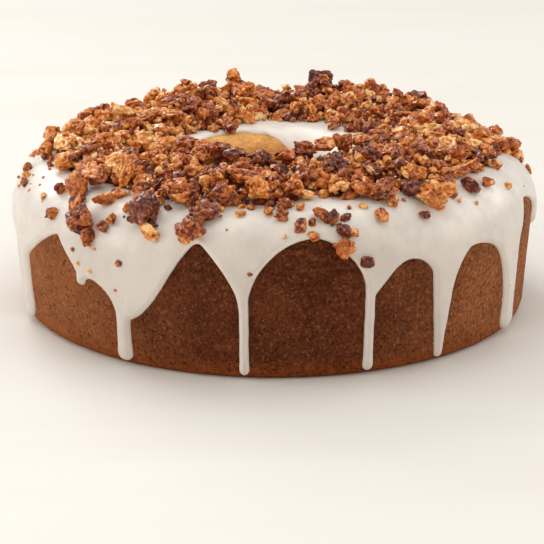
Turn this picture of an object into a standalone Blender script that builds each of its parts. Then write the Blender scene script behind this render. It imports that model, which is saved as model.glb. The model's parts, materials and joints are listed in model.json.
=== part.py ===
"""Ring coffee cake with a poured glaze and a heap of candied chopped nuts, in metres, +Z up.

The origin is the middle of the flat underside. An angle goes round the cake from its front (-Y), growing
towards +X. A distance along the skin starts where the outer side meets the table, climbs the side, crosses
the top and ends at the bottom of the hole. Lift is the height above the skin, square to it.
"""
import math
import random
from dataclasses import dataclass

import bmesh
import bpy
import numpy as np
from mathutils import Matrix, Vector
from mathutils.geometry import delaunay_2d_cdt

MM = 0.001

# The baked ring, as its half section: each rounding is a quarter of an ellipse.
BASE_RADIUS = 119.5 * MM
FOOT_OUT = 4.5 * MM
FOOT_RISE = 7.5 * MM
WIDEST_RADIUS = 127.0 * MM
SHOULDER = 24.0 * MM
TOP_HEIGHT = 74.0 * MM
RIM_OUT = 16.0 * MM
RIM_DROP = 15.0 * MM
HOLE_TOP_RADIUS = 29.0 * MM
HOLE_BASE_RADIUS = 34.0 * MM
HOLE_LIP = 5.0 * MM

# How far the bake is out of true: one side stands higher, and neither outline is a perfect circle.
# Waves round the cake are given as (count, size, shift), here with sizes as shares.
LEAN = 0.028
SWELLS = ((3, 0.0035, 1.0), (5, 0.0025, 2.6))
HUMPS = ((2, 0.0040, 0.4), (5, 0.0035, 1.9))

# The glaze lies clear of the crust, and its lip is thinner than its body.
GLAZE_GAP = 0.6 * MM
GLAZE_THICK = 1.4 * MM
GLAZE_TOP = GLAZE_GAP + GLAZE_THICK
LIP_SHARE = 0.5
LIP_WIDTH = 1.3 * MM
STRAY_FLOOR = GLAZE_GAP + 0.6 * MM

# Steps along the glaze's outline, in millimetres: down a flank, up a run's edge, and up it near the foot.
FLANK_STEP = 8.5
EDGE_STEP = 13.0
FOOT_STEP = 3.0

# The glaze's facets, as the gaps between and along their rows: closer set where the cake is rounded.
SIDE_GRID = (12.0 * MM, 12.0 * MM)
SHOULDER_GRID = (6.3 * MM, 12.0 * MM)
TOP_GRID = (14.0 * MM, 18.0 * MM)
RIM_GRID = (3.6 * MM, 8.5 * MM)
RIM_BAND = 33.0 * MM
UPPER_CLEAR = 3.4 * MM
UNDER_CLEAR = 2.0 * MM

# The heap of nuts, as a band on the glazed top.
HEAP_CLEAR = 0.5 * MM
HEAP_FLOOR = GLAZE_TOP + HEAP_CLEAR
HEAP_OUTER_RADIUS = 113.0 * MM
HEAP_INNER_RADIUS = 53.0 * MM
HEAP_OUTER_WAVES = ((3, 2.0 * MM, 0.6), (7, 1.6 * MM, 2.0))
HEAP_INNER_WAVES = ((1, 3.5 * MM, -1.33), (6, 1.5 * MM, 0.0))
CORE_HEIGHT = 8.5 * MM
CORE_ROWS = 7
CORE_LUMPS = (0.55, 1.3)
CORE_UNDER_SHARES = (1.0, 0.6, 0.22, 0.15, 0.075, 0.0)
PIECE_SINK = 0.3 * MM
PIECES_IN_HEAP = 124
HEAP_PIECE_LENGTHS = (9.0 * MM, 15.0 * MM)

CAKE_COLUMNS = 46
CORE_COLUMNS = 44


@dataclass(frozen=True)
class Run:
    """A run of glaze down the side: degrees round the cake, heights in millimetres above the table."""

    left: float
    right: float
    tip: float
    neck_left: float
    neck_right: float
    tip_share: float = 1.0

    def edge(self, side):
        """The angle and height of the neck on the left (-1) or the right (1)."""
        return (self.left, self.neck_left) if side < 0 else (self.right, self.neck_right)


@dataclass(frozen=True)
class Arch:
    """The bare arch after a run: its apex, and how each flank bends away from it.

    A flank is (crown, hug, flare): how far it stays level from the apex, how far it follows the run's
    edge upwards, and how far it leans off that edge, each as a share of the flank.
    """

    apex: float
    height: float
    left: tuple
    right: tuple


# The glaze as it ran down the front, left to right: each run is followed by the bare arch at its right.
FRONT_POUR = (
    (Run(-75.0, -67.6, 2.2, 40.0, 35.0), Arch(-51.8, 54.2, (0.10, 0.45, 0.35), (0.05, 0.40, 0.35))),
    (Run(-45.5, -43.2, 33.4, 40.0, 35.6), Arch(-41.6, 37.8, (0.30, 0.30, 0.0), (0.35, 0.55, 0.0))),
    (Run(-34.8, -31.2, 2.0, 24.0, 22.5), Arch(-15.6, 61.6, (0.22, 0.10, 0.42), (0.10, 0.55, 0.10))),
    (Run(-7.2, -5.2, 2.0, 33.0, 38.0), Arch(8.3, 64.2, (0.52, 0.55, 0.08), (0.50, 0.40, 0.05))),
    (Run(18.4, 20.6, 2.0, 42.0, 38.0), Arch(28.4, 52.3, (0.45, 0.40, 0.35), (0.60, 0.20, 0.0))),
    (Run(33.9, 39.4, 2.2, 44.0, 32.0, 0.35), Arch(44.6, 52.2, (0.30, 0.55, 0.12), (0.75, 0.55, 0.12))),
    (Run(59.0, 64.0, 2.2, 20.0, 40.0), Arch(69.5, 61.2, (0.35, 0.50, 0.0), (0.45, 0.50, 0.0))),
)

# The sides and back carry on in the same way: long and short runs by turns, evenly but not exactly spaced.
BACK_POUR_START = 84.0
BACK_POUR_STEP = 22.4
BACK_RUNS = 9
BACK_TIP = 2.2
BACK_SHORT_TIPS = (26.0, 42.0)
BACK_NECKS = (26.0, 40.0)
BACK_ARCH_HEIGHTS = (52.0, 62.0)
BACK_BEND = (0.40, 0.45, 0.10)

# Where the glaze stops at the hole, and the places where it ran in: angle, width and depth of each.
COLLAR_RADIUS = 45.5 * MM
COLLAR_WAVES = ((4, 1.6 * MM, 0.35),)
HOLE_RUNS = ((135.0, 62.0, 30.0), (38.0, 30.0, 22.0), (-52.0, 24.0, 26.0), (-12.0, 16.0, 12.0), (-165.5, 9.0, 3.5))
COLLAR_POINTS = 45
COLLAR_RISE = 2.5 * MM

# Nuts that fell clear of the heap: angle, distance along the skin (mm) and length (mm) of each.
STRAY_NUTS = (
    (-77.5, 69.5, 5.0), (-54.5, 66.0, 5.5), (-46.4, 66.5, 6.5), (-42.6, 62.0, 11.0), (-38.0, 69.5, 7.5),
    (-27.0, 67.5, 8.5), (-18.4, 70.0, 8.0), (-33.0, 52.0, 5.0), (-5.0, 53.5, 3.6), (13.8, 63.5, 9.5),
    (8.3, 67.5, 6.5), (18.6, 56.0, 5.5), (24.0, 72.5, 5.5), (33.8, 71.5, 6.5), (61.0, 72.0, 7.0),
    (66.5, 70.5, 5.5), (96.0, 71.0, 6.5), (118.0, 68.0, 5.0), (139.0, 71.5, 7.5), (163.0, 66.5, 6.0),
    (-171.0, 70.5, 7.0), (-149.0, 68.0, 5.0), (-124.0, 71.0, 7.5), (-101.0, 67.0, 5.5),
)

# Where pieces are piled highest: angle, radius and height above the glaze of each pile.
PILES = (
    (165.0, 93.0 * MM, 17.0 * MM), (-166.0, 94.0 * MM, 16.0 * MM), (131.0, 96.0 * MM, 14.0 * MM),
    (-104.0, 99.0 * MM, 11.0 * MM), (96.0, 101.0 * MM, 10.0 * MM), (-35.0, 84.0 * MM, 12.0 * MM),
    (52.0, 86.0 * MM, 12.0 * MM), (12.0, 80.0 * MM, 11.0 * MM),
)
PIECES_IN_PILE = 2


def clear_scene():
    """Remove every object that the scene starts with."""
    for obj in list(bpy.data.objects):
        bpy.data.objects.remove(obj)


def arc(centre, radii, start, end, steps):
    """Points of an elliptical arc between two angles in degrees, both ends included."""
    turns = np.radians(np.linspace(start, end, steps + 1))
    return [(centre[0] + radii[0] * math.cos(t), centre[1] + radii[1] * math.sin(t)) for t in turns]


def waves(turn, terms):
    """The sum of some waves round the cake, at an angle in radians."""
    return sum(size * math.sin(count * turn + shift) for count, size, shift in terms)


def half_section(steps):
    """The cake's skin as (radius, height), from the outer foot over the top to the bottom of the hole."""
    shoulder_centre = (WIDEST_RADIUS - SHOULDER, TOP_HEIGHT - SHOULDER)
    rim_centre = (HOLE_TOP_RADIUS + RIM_OUT, TOP_HEIGHT - RIM_DROP)
    lip_centre = (HOLE_BASE_RADIUS + HOLE_LIP, HOLE_LIP)
    return (
        arc((BASE_RADIUS, FOOT_RISE), (FOOT_OUT, FOOT_RISE), -90, 0, steps)
        + arc(shoulder_centre, (SHOULDER, SHOULDER), 0, 90, 2 * steps)
        + arc(rim_centre, (RIM_OUT, RIM_DROP), 90, 180, 2 * steps)
        + arc(lip_centre, (HOLE_LIP, HOLE_LIP), 180, 270, steps)
    )


class Skin:
    """The cake's surface, looked up by angle, distance along the half section and lift."""

    def __init__(self):
        points = np.array(half_section(24))
        gaps = np.hypot(*np.diff(points, axis=0).T)
        self.along = np.concatenate([[0.0], np.cumsum(gaps)])
        self.radius, self.height = points.T
        tangent = np.gradient(points, self.along, axis=0)
        tangent /= np.linalg.norm(tangent, axis=1)[:, None]
        self.normal_out, self.normal_up = tangent[:, 1], -tangent[:, 0]
        self.top_start = self.along[np.argmax(self.height > TOP_HEIGHT - 1e-9)]
        flat = np.concatenate([[0.0], np.cumsum(gaps / (self.radius[1:] + self.radius[:-1]) * 2)])
        self.flat_radius = np.exp(flat[-1] - flat)

    def point(self, angle, along, lift=0.0):
        """A place on the skin, or lifted off it, as a vector."""
        radius = np.interp(along, self.along, self.radius)
        height = np.interp(along, self.along, self.height)
        out = np.interp(along, self.along, self.normal_out)
        up = np.interp(along, self.along, self.normal_up)
        turn = math.radians(angle)
        radius *= 1 + waves(turn, SWELLS)
        height *= 1 + LEAN * math.sin(turn) + waves(turn, HUMPS)
        radius += lift * out
        height += lift * up
        return Vector((radius * math.sin(turn), -radius * math.cos(turn), height))

    def frame(self, angle, along):
        """The matrix of a place on the skin: X runs round the cake, Y up the skin, Z out of it."""
        here = self.point(angle, along)
        round_way = (self.point(angle + 0.2, along) - self.point(angle - 0.2, along)).normalized()
        up_way = (self.point(angle, along + 0.4 * MM) - self.point(angle, along - 0.4 * MM)).normalized()
        out_way = round_way.cross(up_way).normalized()
        up_way = out_way.cross(round_way)
        turn = Matrix((round_way, up_way, out_way)).transposed().to_4x4()
        return Matrix.Translation(here) @ turn

    def at_height(self, angle, height):
        """The distance along the outer side at which the skin is this high, in metres."""
        lean = 1 + LEAN * math.sin(math.radians(angle))
        outer = self.along <= self.top_start
        return float(np.interp(height / lean, self.height[outer], self.along[outer]))

    def at_radius(self, radius):
        """The distance along the skin at which the top or the shoulder has this radius."""
        upper = (self.height > TOP_HEIGHT - SHOULDER) & (self.radius > HOLE_TOP_RADIUS + 1e-6)
        return float(np.interp(-radius, -self.radius[upper], self.along[upper]))

    def flattened(self, angle, along):
        """The place laid out flat round the hole, keeping its angles true."""
        reach = float(np.interp(along, self.along, self.flat_radius))
        turn = math.radians(angle)
        return Vector((reach * math.sin(turn), -reach * math.cos(turn)))


def material(name, colour, roughness):
    """A plain finish: linear colour and roughness."""
    made = bpy.data.materials.new(name)
    made.use_nodes = True
    shader = made.node_tree.nodes["Principled BSDF"]
    shader.inputs["Base Color"].default_value = (*colour, 1.0)
    shader.inputs["Roughness"].default_value = roughness
    shader.inputs["Metallic"].default_value = 0.0
    return made


def add_object(name, points, faces, finish):
    """A closed mesh object in the scene, its faces turned outwards."""
    mesh = bpy.data.meshes.new(name)
    mesh.from_pydata(points, [], faces)
    shape = bmesh.new()
    shape.from_mesh(mesh)
    bmesh.ops.recalc_face_normals(shape, faces=shape.faces)
    shape.to_mesh(mesh)
    shape.free()
    mesh.materials.append(finish)
    obj = bpy.data.objects.new(name, mesh)
    bpy.context.scene.collection.objects.link(obj)
    return obj


def shade(obj, crease_degrees):
    """Smooth shading that keeps the creases sharper than an angle."""
    obj.data.shade_smooth()
    obj.data.set_sharp_from_angle(angle=math.radians(crease_degrees))


def ring_faces(columns, rows):
    """Quads of a closed ring of columns, each a closed loop of rows."""
    faces = []
    for c in range(columns):
        after = (c + 1) % columns
        for r in range(rows):
            above = (r + 1) % rows
            faces.append((c * rows + r, after * rows + r, after * rows + above, c * rows + above))
    return faces


def build_cake(skin):
    """The baked ring: its half section turned round the hole, closed by the flat underside."""
    coarse = np.array(half_section(3))
    stations = []
    for radius, height in coarse:
        stations.append(skin.along[np.argmin((skin.radius - radius) ** 2 + (skin.height - height) ** 2)])
    points = []
    for column in range(CAKE_COLUMNS):
        angle = 360.0 * column / CAKE_COLUMNS
        points += [skin.point(angle, along) for along in stations]
    crust = material("crust", (0.16, 0.055, 0.022), 0.85)
    cake = add_object("cake", points, ring_faces(CAKE_COLUMNS, len(stations)), crust)
    shade(cake, 40)
    return cake


def back_pour():
    """The runs and arches of the sides and back, long and short by turns."""
    rng = random.Random(11)
    pour = []
    for number in range(BACK_RUNS):
        angle = BACK_POUR_START + BACK_POUR_STEP * number + rng.uniform(-2.5, 2.5)
        short = number % 3 == 0
        half = rng.uniform(1.3, 2.6)
        tip = rng.uniform(*BACK_SHORT_TIPS) if short else BACK_TIP
        neck = tip + rng.uniform(5.0, 8.0) if short else rng.uniform(*BACK_NECKS)
        run = Run(angle - half, angle + half, tip, neck, neck + rng.uniform(-3.0, 3.0))
        last = number == BACK_RUNS - 1
        next_angle = FRONT_POUR[0][0].left + 360.0 if last else angle + BACK_POUR_STEP
        apex = (angle + next_angle) / 2 + rng.uniform(-2.0, 2.0)
        pour.append((run, Arch(apex, rng.uniform(*BACK_ARCH_HEIGHTS), BACK_BEND, BACK_BEND)))
    return pour


def flank(apex, neck, bend):
    """Points from an arch's apex down to a run's neck, without the apex."""
    crown, hug, flare = bend
    (from_angle, top), (to_angle, low) = apex, neck
    across, drop = to_angle - from_angle, top - low
    handles = ((from_angle + crown * across, top), (to_angle - flare * across, low + hug * drop))
    length = math.hypot(math.radians(across) * WIDEST_RADIUS / MM, drop)
    steps = max(3, round(length / FLANK_STEP))
    points = []
    for step in range(1, steps + 1):
        t = step / steps
        shares = ((1 - t) ** 3, 3 * t * (1 - t) ** 2, 3 * t * t * (1 - t), t ** 3)
        knots = (apex, *handles, neck)
        points.append(tuple(sum(share * knot[i] for share, knot in zip(shares, knots)) for i in (0, 1)))
    return points


def tip_points(run):
    """The hanging end of a run, from its left neck to its right one: two edges and a round tip."""
    middle = (run.left + run.right) / 2
    half = (run.right - run.left) / 2
    tip_half = half * run.tip_share
    round_rise = math.radians(tip_half) * WIDEST_RADIUS / MM
    edges = []
    for side, neck in ((-1, run.neck_left), (1, run.neck_right)):
        foot = min(run.tip + round_rise, neck - 1.0)
        heights = [foot]
        while heights[-1] < neck - FOOT_STEP:
            heights.append(heights[-1] + (FOOT_STEP if heights[-1] < 2 * FOOT_RISE / MM else EDGE_STEP))
        heights = [height for height in heights if height < neck - 0.5 * FOOT_STEP]
        widths = [tip_half + (half - tip_half) * (height - foot) / (neck - foot) for height in heights]
        edges.append([(middle + side * width, height) for width, height in zip(widths, heights)])
    low = run.tip + 0.3 * round_rise
    tip = [(middle - 0.7 * tip_half, low), (middle, run.tip), (middle + 0.7 * tip_half, low)]
    return edges[0][::-1] + tip + edges[1] + [run.edge(1)]


def outer_border(skin):
    """The glaze's lower edge right round the cake, as (angle, distance along the skin)."""
    pour = list(FRONT_POUR) + back_pour()
    outline = []
    for number, (run, arch) in enumerate(pour):
        following = pour[(number + 1) % len(pour)][0]
        full_turn = 360.0 if number == len(pour) - 1 else 0.0
        apex = (arch.apex, arch.height)
        next_neck = (following.left + full_turn, following.neck_left)
        outline += tip_points(run)
        outline += flank(apex, run.edge(1), arch.left)[::-1][1:] + [apex]
        outline += flank(apex, next_neck, arch.right)
    return [(angle, skin.at_height(angle, height * MM)) for angle, height in outline]


def collar_edge(skin, angle):
    """How far along the skin the glaze reaches at the hole, for one angle."""
    reach = skin.at_radius(COLLAR_RADIUS) + waves(math.radians(angle), COLLAR_WAVES)
    for centre, width, depth in HOLE_RUNS:
        off = abs((angle - centre + 180.0) % 360.0 - 180.0) / width
        if off < 1:
            reach += depth * MM * (0.5 + 0.5 * math.cos(math.pi * off)) ** 0.7
    return reach


def inner_border(skin):
    """The glaze's edge round the hole, as (angle, distance along the skin), closer set where it is steep."""
    border = []
    for number in range(COLLAR_POINTS):
        start, end = (360.0 * (number + i) / COLLAR_POINTS for i in (0, 1))
        rise = abs(collar_edge(skin, end) - collar_edge(skin, start))
        parts = 1 + int(rise / COLLAR_RISE)
        border += [start + (end - start) * i / parts for i in range(parts)]
    return [(angle, collar_edge(skin, angle)) for angle in border]


def surface_gap(skin, place, other):
    """About how far apart two places on the skin are."""
    radius = float(np.interp(place[1], skin.along, skin.radius))
    across = math.radians((place[0] - other[0] + 180.0) % 360.0 - 180.0) * radius
    return math.hypot(across, place[1] - other[1])


def inset(skin, border, distance):
    """A border's points moved into the glaze, square to the border."""
    moved = []
    count = len(border)
    for number, (angle, along) in enumerate(border):
        before, after = border[number - 1], border[(number + 1) % count]
        metres = math.radians(1) * float(np.interp(along, skin.along, skin.radius))
        across = ((after[0] - before[0] + 180.0) % 360.0 - 180.0) * metres
        rise = after[1] - before[1]
        size = math.hypot(across, rise)
        moved.append((angle - rise / size * distance / metres, along + across / size * distance))
    return moved


def lattice(skin, first, last, row_gap, point_gap):
    """Places spread evenly over the skin between two distances, in staggered rows."""
    places = []
    rows = round((last - first) / row_gap)
    for row in range(rows + 1):
        along = first + (last - first) * row / rows
        radius = float(np.interp(along, skin.along, skin.radius))
        count = max(12, round(2 * math.pi * radius / point_gap))
        places += [(360.0 * (i + 0.5 * (row % 2)) / count, along) for i in range(count)]
    return places


def kept_clear(skin, places, taken, gap):
    """The places at least a gap away from those already taken and from each other."""
    kept = []
    for place in places:
        near = (other for other in taken + kept if abs(other[1] - place[1]) < gap)
        if all(surface_gap(skin, place, other) >= gap for other in near):
            kept.append(place)
    return kept


def triangulate(skin, outer, inner, inside):
    """Triangles of the glaze's outline laid out flat, over the two borders and the places between them."""
    places = outer + inner + inside
    flat = [skin.flattened(*place) for place in places]
    loops = ((0, len(outer)), (len(outer), len(inner)))
    edges = [(start + i, start + (i + 1) % count) for start, count in loops for i in range(count)]
    found = delaunay_2d_cdt(flat, edges, [], 1, 1e-7)
    coords, faces, origins = found[0], found[2], found[3]
    if len(coords) != len(places) or any(len(origin) != 1 for origin in origins):
        raise RuntimeError("the glaze's outline crosses itself")
    back = [origin[0] for origin in origins]
    kept = []
    for face in faces:
        corners = [back[i] for i in face]
        middle = sum((coords[i] for i in face), Vector((0.0, 0.0))) / len(face)
        angle = math.degrees(math.atan2(middle.x, -middle.y))
        in_hole = middle.length < skin.flattened(angle, collar_edge(skin, angle)).length
        round_hole = all(len(outer) <= i < len(outer) + len(inner) for i in corners)
        if not (in_hole and round_hole):
            kept.append(corners)
    return kept


def glaze_lattice(skin, outer):
    """Places spread over the glaze inside its borders, closer set where the cake is rounded."""
    edge_angles, edge_alongs = np.array(sorted(outer)).T
    side_end = skin.at_height(0.0, TOP_HEIGHT - SHOULDER)
    rim_start = skin.at_radius(HOLE_TOP_RADIUS + RIM_OUT)
    bands = (
        (FOOT_RISE, side_end - 0.4 * SIDE_GRID[0], *SIDE_GRID),
        (side_end, skin.top_start, *SHOULDER_GRID),
        (skin.top_start + 0.85 * TOP_GRID[0], rim_start, *TOP_GRID),
        (rim_start + 0.85 * RIM_GRID[0], rim_start + RIM_BAND, *RIM_GRID),
    )
    spread = [place for band in bands for place in lattice(skin, *band)]
    return [(angle, along) for angle, along in spread
            if np.interp(angle, edge_angles, edge_alongs, period=360.0) < along < collar_edge(skin, angle)]


def glaze_shell(skin):
    """Points and faces of the glaze: an outer and an inner skin that share their borders, joined by a lip."""
    outer, inner = outer_border(skin), inner_border(skin)
    borders = outer + inner
    lips = kept_clear(skin, inset(skin, outer, LIP_WIDTH), borders, 0.8 * LIP_WIDTH)
    spread = glaze_lattice(skin, outer)
    between = kept_clear(skin, spread, borders + lips, UPPER_CLEAR)
    under = kept_clear(skin, spread, borders, UNDER_CLEAR)
    upper_faces = triangulate(skin, outer, inner, lips + between)
    under_faces = triangulate(skin, outer, inner, under)
    lip_lift = GLAZE_GAP + LIP_SHARE * GLAZE_THICK
    points = [skin.point(*place, lip_lift) for place in borders]
    points += [skin.point(*place, GLAZE_TOP) for place in lips + between]
    start = len(points)
    points += [skin.point(*place, GLAZE_GAP) for place in borders + under]
    faces = [tuple(face) for face in upper_faces]
    faces += [tuple(start + i for i in reversed(face)) for face in under_faces]
    for first, size in ((0, len(outer)), (len(outer), len(inner))):
        for i in range(size):
            here, after = first + i, first + (i + 1) % size
            faces.append((start + here, start + after, after, here))
    return points, faces


def nut_piece(rng, skin, angle, along, lift, length, floor):
    """Points and faces of a chopped nut on the skin: a block cut at odd angles, flat on its floor."""
    shape = bmesh.new()
    bmesh.ops.create_cube(shape, size=1.0)
    size = Vector((length, length * rng.uniform(0.6, 0.9), length * rng.uniform(0.5, 0.75)))
    turn = Matrix.Rotation(rng.uniform(0, 2 * math.pi), 3, "Z") @ Matrix.Rotation(rng.gauss(0, 0.6), 3, "X")
    frame = skin.frame(angle, along)
    points = []
    for vertex in shape.verts:
        cut = Vector([a * b * rng.uniform(0.45, 1.1) for a, b in zip(vertex.co, size)])
        placed = turn @ cut
        placed.z = max(placed.z + lift, floor)
        points.append(frame @ placed)
    bmesh.ops.triangulate(shape, faces=shape.faces)
    faces = [tuple(vertex.index for vertex in face.verts) for face in shape.faces]
    shape.free()
    return points, faces


def fuse(base, pieces):
    """Join pieces to a base object by one union, and drop whatever isn't part of its outer surface."""
    group = bpy.data.collections.new(base.name + "_pieces")
    bpy.context.scene.collection.children.link(group)
    for number, (points, faces) in enumerate(pieces):
        piece = add_object(f"{base.name}_piece_{number}", points, faces, base.data.materials[0])
        bpy.context.scene.collection.objects.unlink(piece)
        group.objects.link(piece)
    union = base.modifiers.new("join", "BOOLEAN")
    union.operation = "UNION"
    union.solver = "EXACT"
    union.operand_type = "COLLECTION"
    union.collection = group
    bpy.context.view_layer.update()
    graph = bpy.context.evaluated_depsgraph_get()
    joined = bpy.data.meshes.new_from_object(base.evaluated_get(graph), depsgraph=graph)
    base.modifiers.remove(union)
    base.data = joined
    for piece in list(group.objects):
        bpy.data.objects.remove(piece)
    bpy.data.collections.remove(group)
    keep_largest_shell(joined)


def keep_largest_shell(mesh):
    """Delete every separate shell but the one with the most faces: loose scraps and sealed hollows."""
    shape = bmesh.new()
    shape.from_mesh(mesh)
    bmesh.ops.triangulate(shape, faces=shape.faces)
    waiting = set(shape.faces)
    shells = []
    while waiting:
        shell, edge_of_search = set(), [waiting.pop()]
        while edge_of_search:
            face = edge_of_search.pop()
            shell.add(face)
            for other in (linked for edge in face.edges for linked in edge.link_faces):
                if other in waiting:
                    waiting.remove(other)
                    edge_of_search.append(other)
        shells.append(shell)
    shells.sort(key=len)
    scraps = [face for shell in shells[:-1] for face in shell]
    bmesh.ops.delete(shape, geom=scraps, context="FACES")
    loose = [vertex for vertex in shape.verts if not vertex.link_faces]
    bmesh.ops.delete(shape, geom=loose, context="VERTS")
    shape.to_mesh(mesh)
    shape.free()


def build_glaze(skin):
    """The poured glaze over the top and shoulder, its runs down the side, and the stray nuts on it."""
    points, faces = glaze_shell(skin)
    glaze = add_object("glaze", points, faces, material("glaze", (0.72, 0.66, 0.60), 0.3))
    rng = random.Random(5)
    strays = []
    for angle, along, length in STRAY_NUTS:
        size = length * MM
        lift = GLAZE_TOP + 0.2 * size
        strays.append(nut_piece(rng, skin, angle, along * MM, lift, size, STRAY_FLOOR))
    fuse(glaze, strays)
    shade(glaze, 40)
    return glaze


def heap_edges(skin, angle):
    """The heap's outer and inner edge, as distances along the skin."""
    turn = math.radians(angle)
    outer = HEAP_OUTER_RADIUS + waves(turn, HEAP_OUTER_WAVES)
    inner = HEAP_INNER_RADIUS + waves(turn, HEAP_INNER_WAVES)
    return skin.at_radius(outer), skin.at_radius(inner)


def core_height(angle, share):
    """How thick the heap's core is on average, at a share of the way from its outer edge to its inner one."""
    turn = math.radians(angle)
    uneven = 1 + 0.16 * math.sin(5 * turn + 9 * share) + 0.12 * math.sin(11 * turn - 6 * share + 1)
    return CORE_HEIGHT * math.sin(math.pi * share) ** 0.5 * uneven


def heap_core(skin):
    """Points and faces of the heap's core: a low lumpy bank, flat underneath."""
    rng = random.Random(31)
    above = [(row + 0.35) / (CORE_ROWS - 0.3) for row in range(CORE_ROWS)]
    points = []
    for column in range(CORE_COLUMNS):
        angle = 360.0 * column / CORE_COLUMNS
        outer, inner = heap_edges(skin, angle)
        for row, share in enumerate(above):
            aside = angle + (180.0 / CORE_COLUMNS if row % 2 else 0.0)
            lift = HEAP_FLOOR + core_height(angle, share) * rng.uniform(*CORE_LUMPS)
            points.append(skin.point(aside, outer + (inner - outer) * share, lift))
        for share in CORE_UNDER_SHARES:
            points.append(skin.point(angle, outer + (inner - outer) * share, HEAP_FLOOR))
    return points, ring_faces(CORE_COLUMNS, len(above) + len(CORE_UNDER_SHARES))


def heap_pieces(skin):
    """The nuts that show: some lie over the whole core, and a few more are piled up in places."""
    rng = random.Random(23)
    pieces = []
    floor = HEAP_FLOOR + PIECE_SINK
    golden = 360.0 * (math.sqrt(5) - 1) / 2
    narrow = HEAP_INNER_RADIUS / HEAP_OUTER_RADIUS
    for number in range(PIECES_IN_HEAP):
        angle = golden * number + rng.uniform(-3, 3)
        outer, inner = heap_edges(skin, angle)
        filled = (number + 0.5) / PIECES_IN_HEAP
        share = (1 - math.sqrt(1 - filled * (1 - narrow ** 2))) / (1 - narrow)
        length = rng.uniform(*HEAP_PIECE_LENGTHS)
        lift = HEAP_FLOOR + core_height(angle, min(max(share, 0.05), 0.95)) + rng.uniform(0.0, 0.2) * length
        pieces.append(nut_piece(rng, skin, angle, outer + (inner - outer) * share, lift, length, floor))
    for angle, radius, height in PILES:
        for number in range(PIECES_IN_PILE):
            length = HEAP_PIECE_LENGTHS[1]
            lift = GLAZE_TOP + height * (number + 1) / PIECES_IN_PILE - 0.35 * length
            aside = angle + rng.uniform(-2.0, 2.0)
            along = skin.at_radius(radius) + rng.uniform(-3.0, 3.0) * MM
            pieces.append(nut_piece(rng, skin, aside, along, lift, length, floor))
    return pieces


def build_heap(skin):
    """The heap of candied chopped nuts: one uneven solid ring round the top."""
    points, faces = heap_core(skin)
    heap = add_object("candied_nuts", points, faces, material("candied_nut", (0.42, 0.16, 0.045), 0.4))
    fuse(heap, heap_pieces(skin))
    shade(heap, 30)
    return heap


def main():
    """Build the cake, the glaze and the nuts, all standing on the origin."""
    clear_scene()
    skin = Skin()
    build_cake(skin)
    build_glaze(skin)
    build_heap(skin)


main()
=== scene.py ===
"""A ring coffee cake with white glaze run down its sides and candied chopped nuts heaped round its top.

Lengths are in metres. An angle goes round the cake from its front (-Y) towards +X, in radians. A distance
along the skin starts at the outer foot, climbs the side, crosses the top and ends at the bottom of the
hole. A place on the skin is the pair of these. Lift is the height above the skin, square to it.
"""
import json
import logging
import math
import random
from dataclasses import dataclass, field
from enum import Enum
from typing import Any, Iterable, Mapping, Sequence

import bmesh
import bpy
import numpy as np
from mathutils import Matrix, Vector, kdtree, noise
from mathutils.bvhtree import BVHTree
from mathutils.geometry import delaunay_2d_cdt

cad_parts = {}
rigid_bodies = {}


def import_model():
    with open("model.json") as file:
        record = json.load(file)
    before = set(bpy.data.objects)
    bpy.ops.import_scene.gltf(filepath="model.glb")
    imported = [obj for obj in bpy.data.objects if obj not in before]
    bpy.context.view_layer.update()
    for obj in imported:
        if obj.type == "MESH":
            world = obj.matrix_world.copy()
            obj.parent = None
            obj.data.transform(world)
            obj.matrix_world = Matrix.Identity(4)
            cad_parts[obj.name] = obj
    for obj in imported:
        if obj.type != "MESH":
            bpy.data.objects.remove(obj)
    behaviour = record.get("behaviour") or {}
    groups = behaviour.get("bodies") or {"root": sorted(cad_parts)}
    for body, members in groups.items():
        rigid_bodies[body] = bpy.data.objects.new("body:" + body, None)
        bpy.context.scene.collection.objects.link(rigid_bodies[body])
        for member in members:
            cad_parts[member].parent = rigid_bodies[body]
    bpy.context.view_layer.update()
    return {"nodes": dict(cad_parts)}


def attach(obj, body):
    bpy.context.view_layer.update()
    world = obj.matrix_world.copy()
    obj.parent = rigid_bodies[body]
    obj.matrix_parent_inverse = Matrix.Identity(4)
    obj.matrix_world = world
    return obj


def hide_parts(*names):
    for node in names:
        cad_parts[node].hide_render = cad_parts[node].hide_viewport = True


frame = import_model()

MM = 0.001
BODY = "root"
WRINKLE_STRETCH = (0.22, 0.22, 1.0)
LOG = logging.getLogger("coffee_cake")

Array = np.ndarray
Colour = tuple[float, float, float]
Wave = tuple[int, float, float]


class Part(Enum):
    """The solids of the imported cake, by node name."""

    CAKE = "cake"
    GLAZE = "glaze"
    NUTS = "candied_nuts"


class Slot(Enum):
    """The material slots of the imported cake."""

    CRUST = "crust"
    GLAZE = "glaze"
    NUT = "candied_nut"


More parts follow.
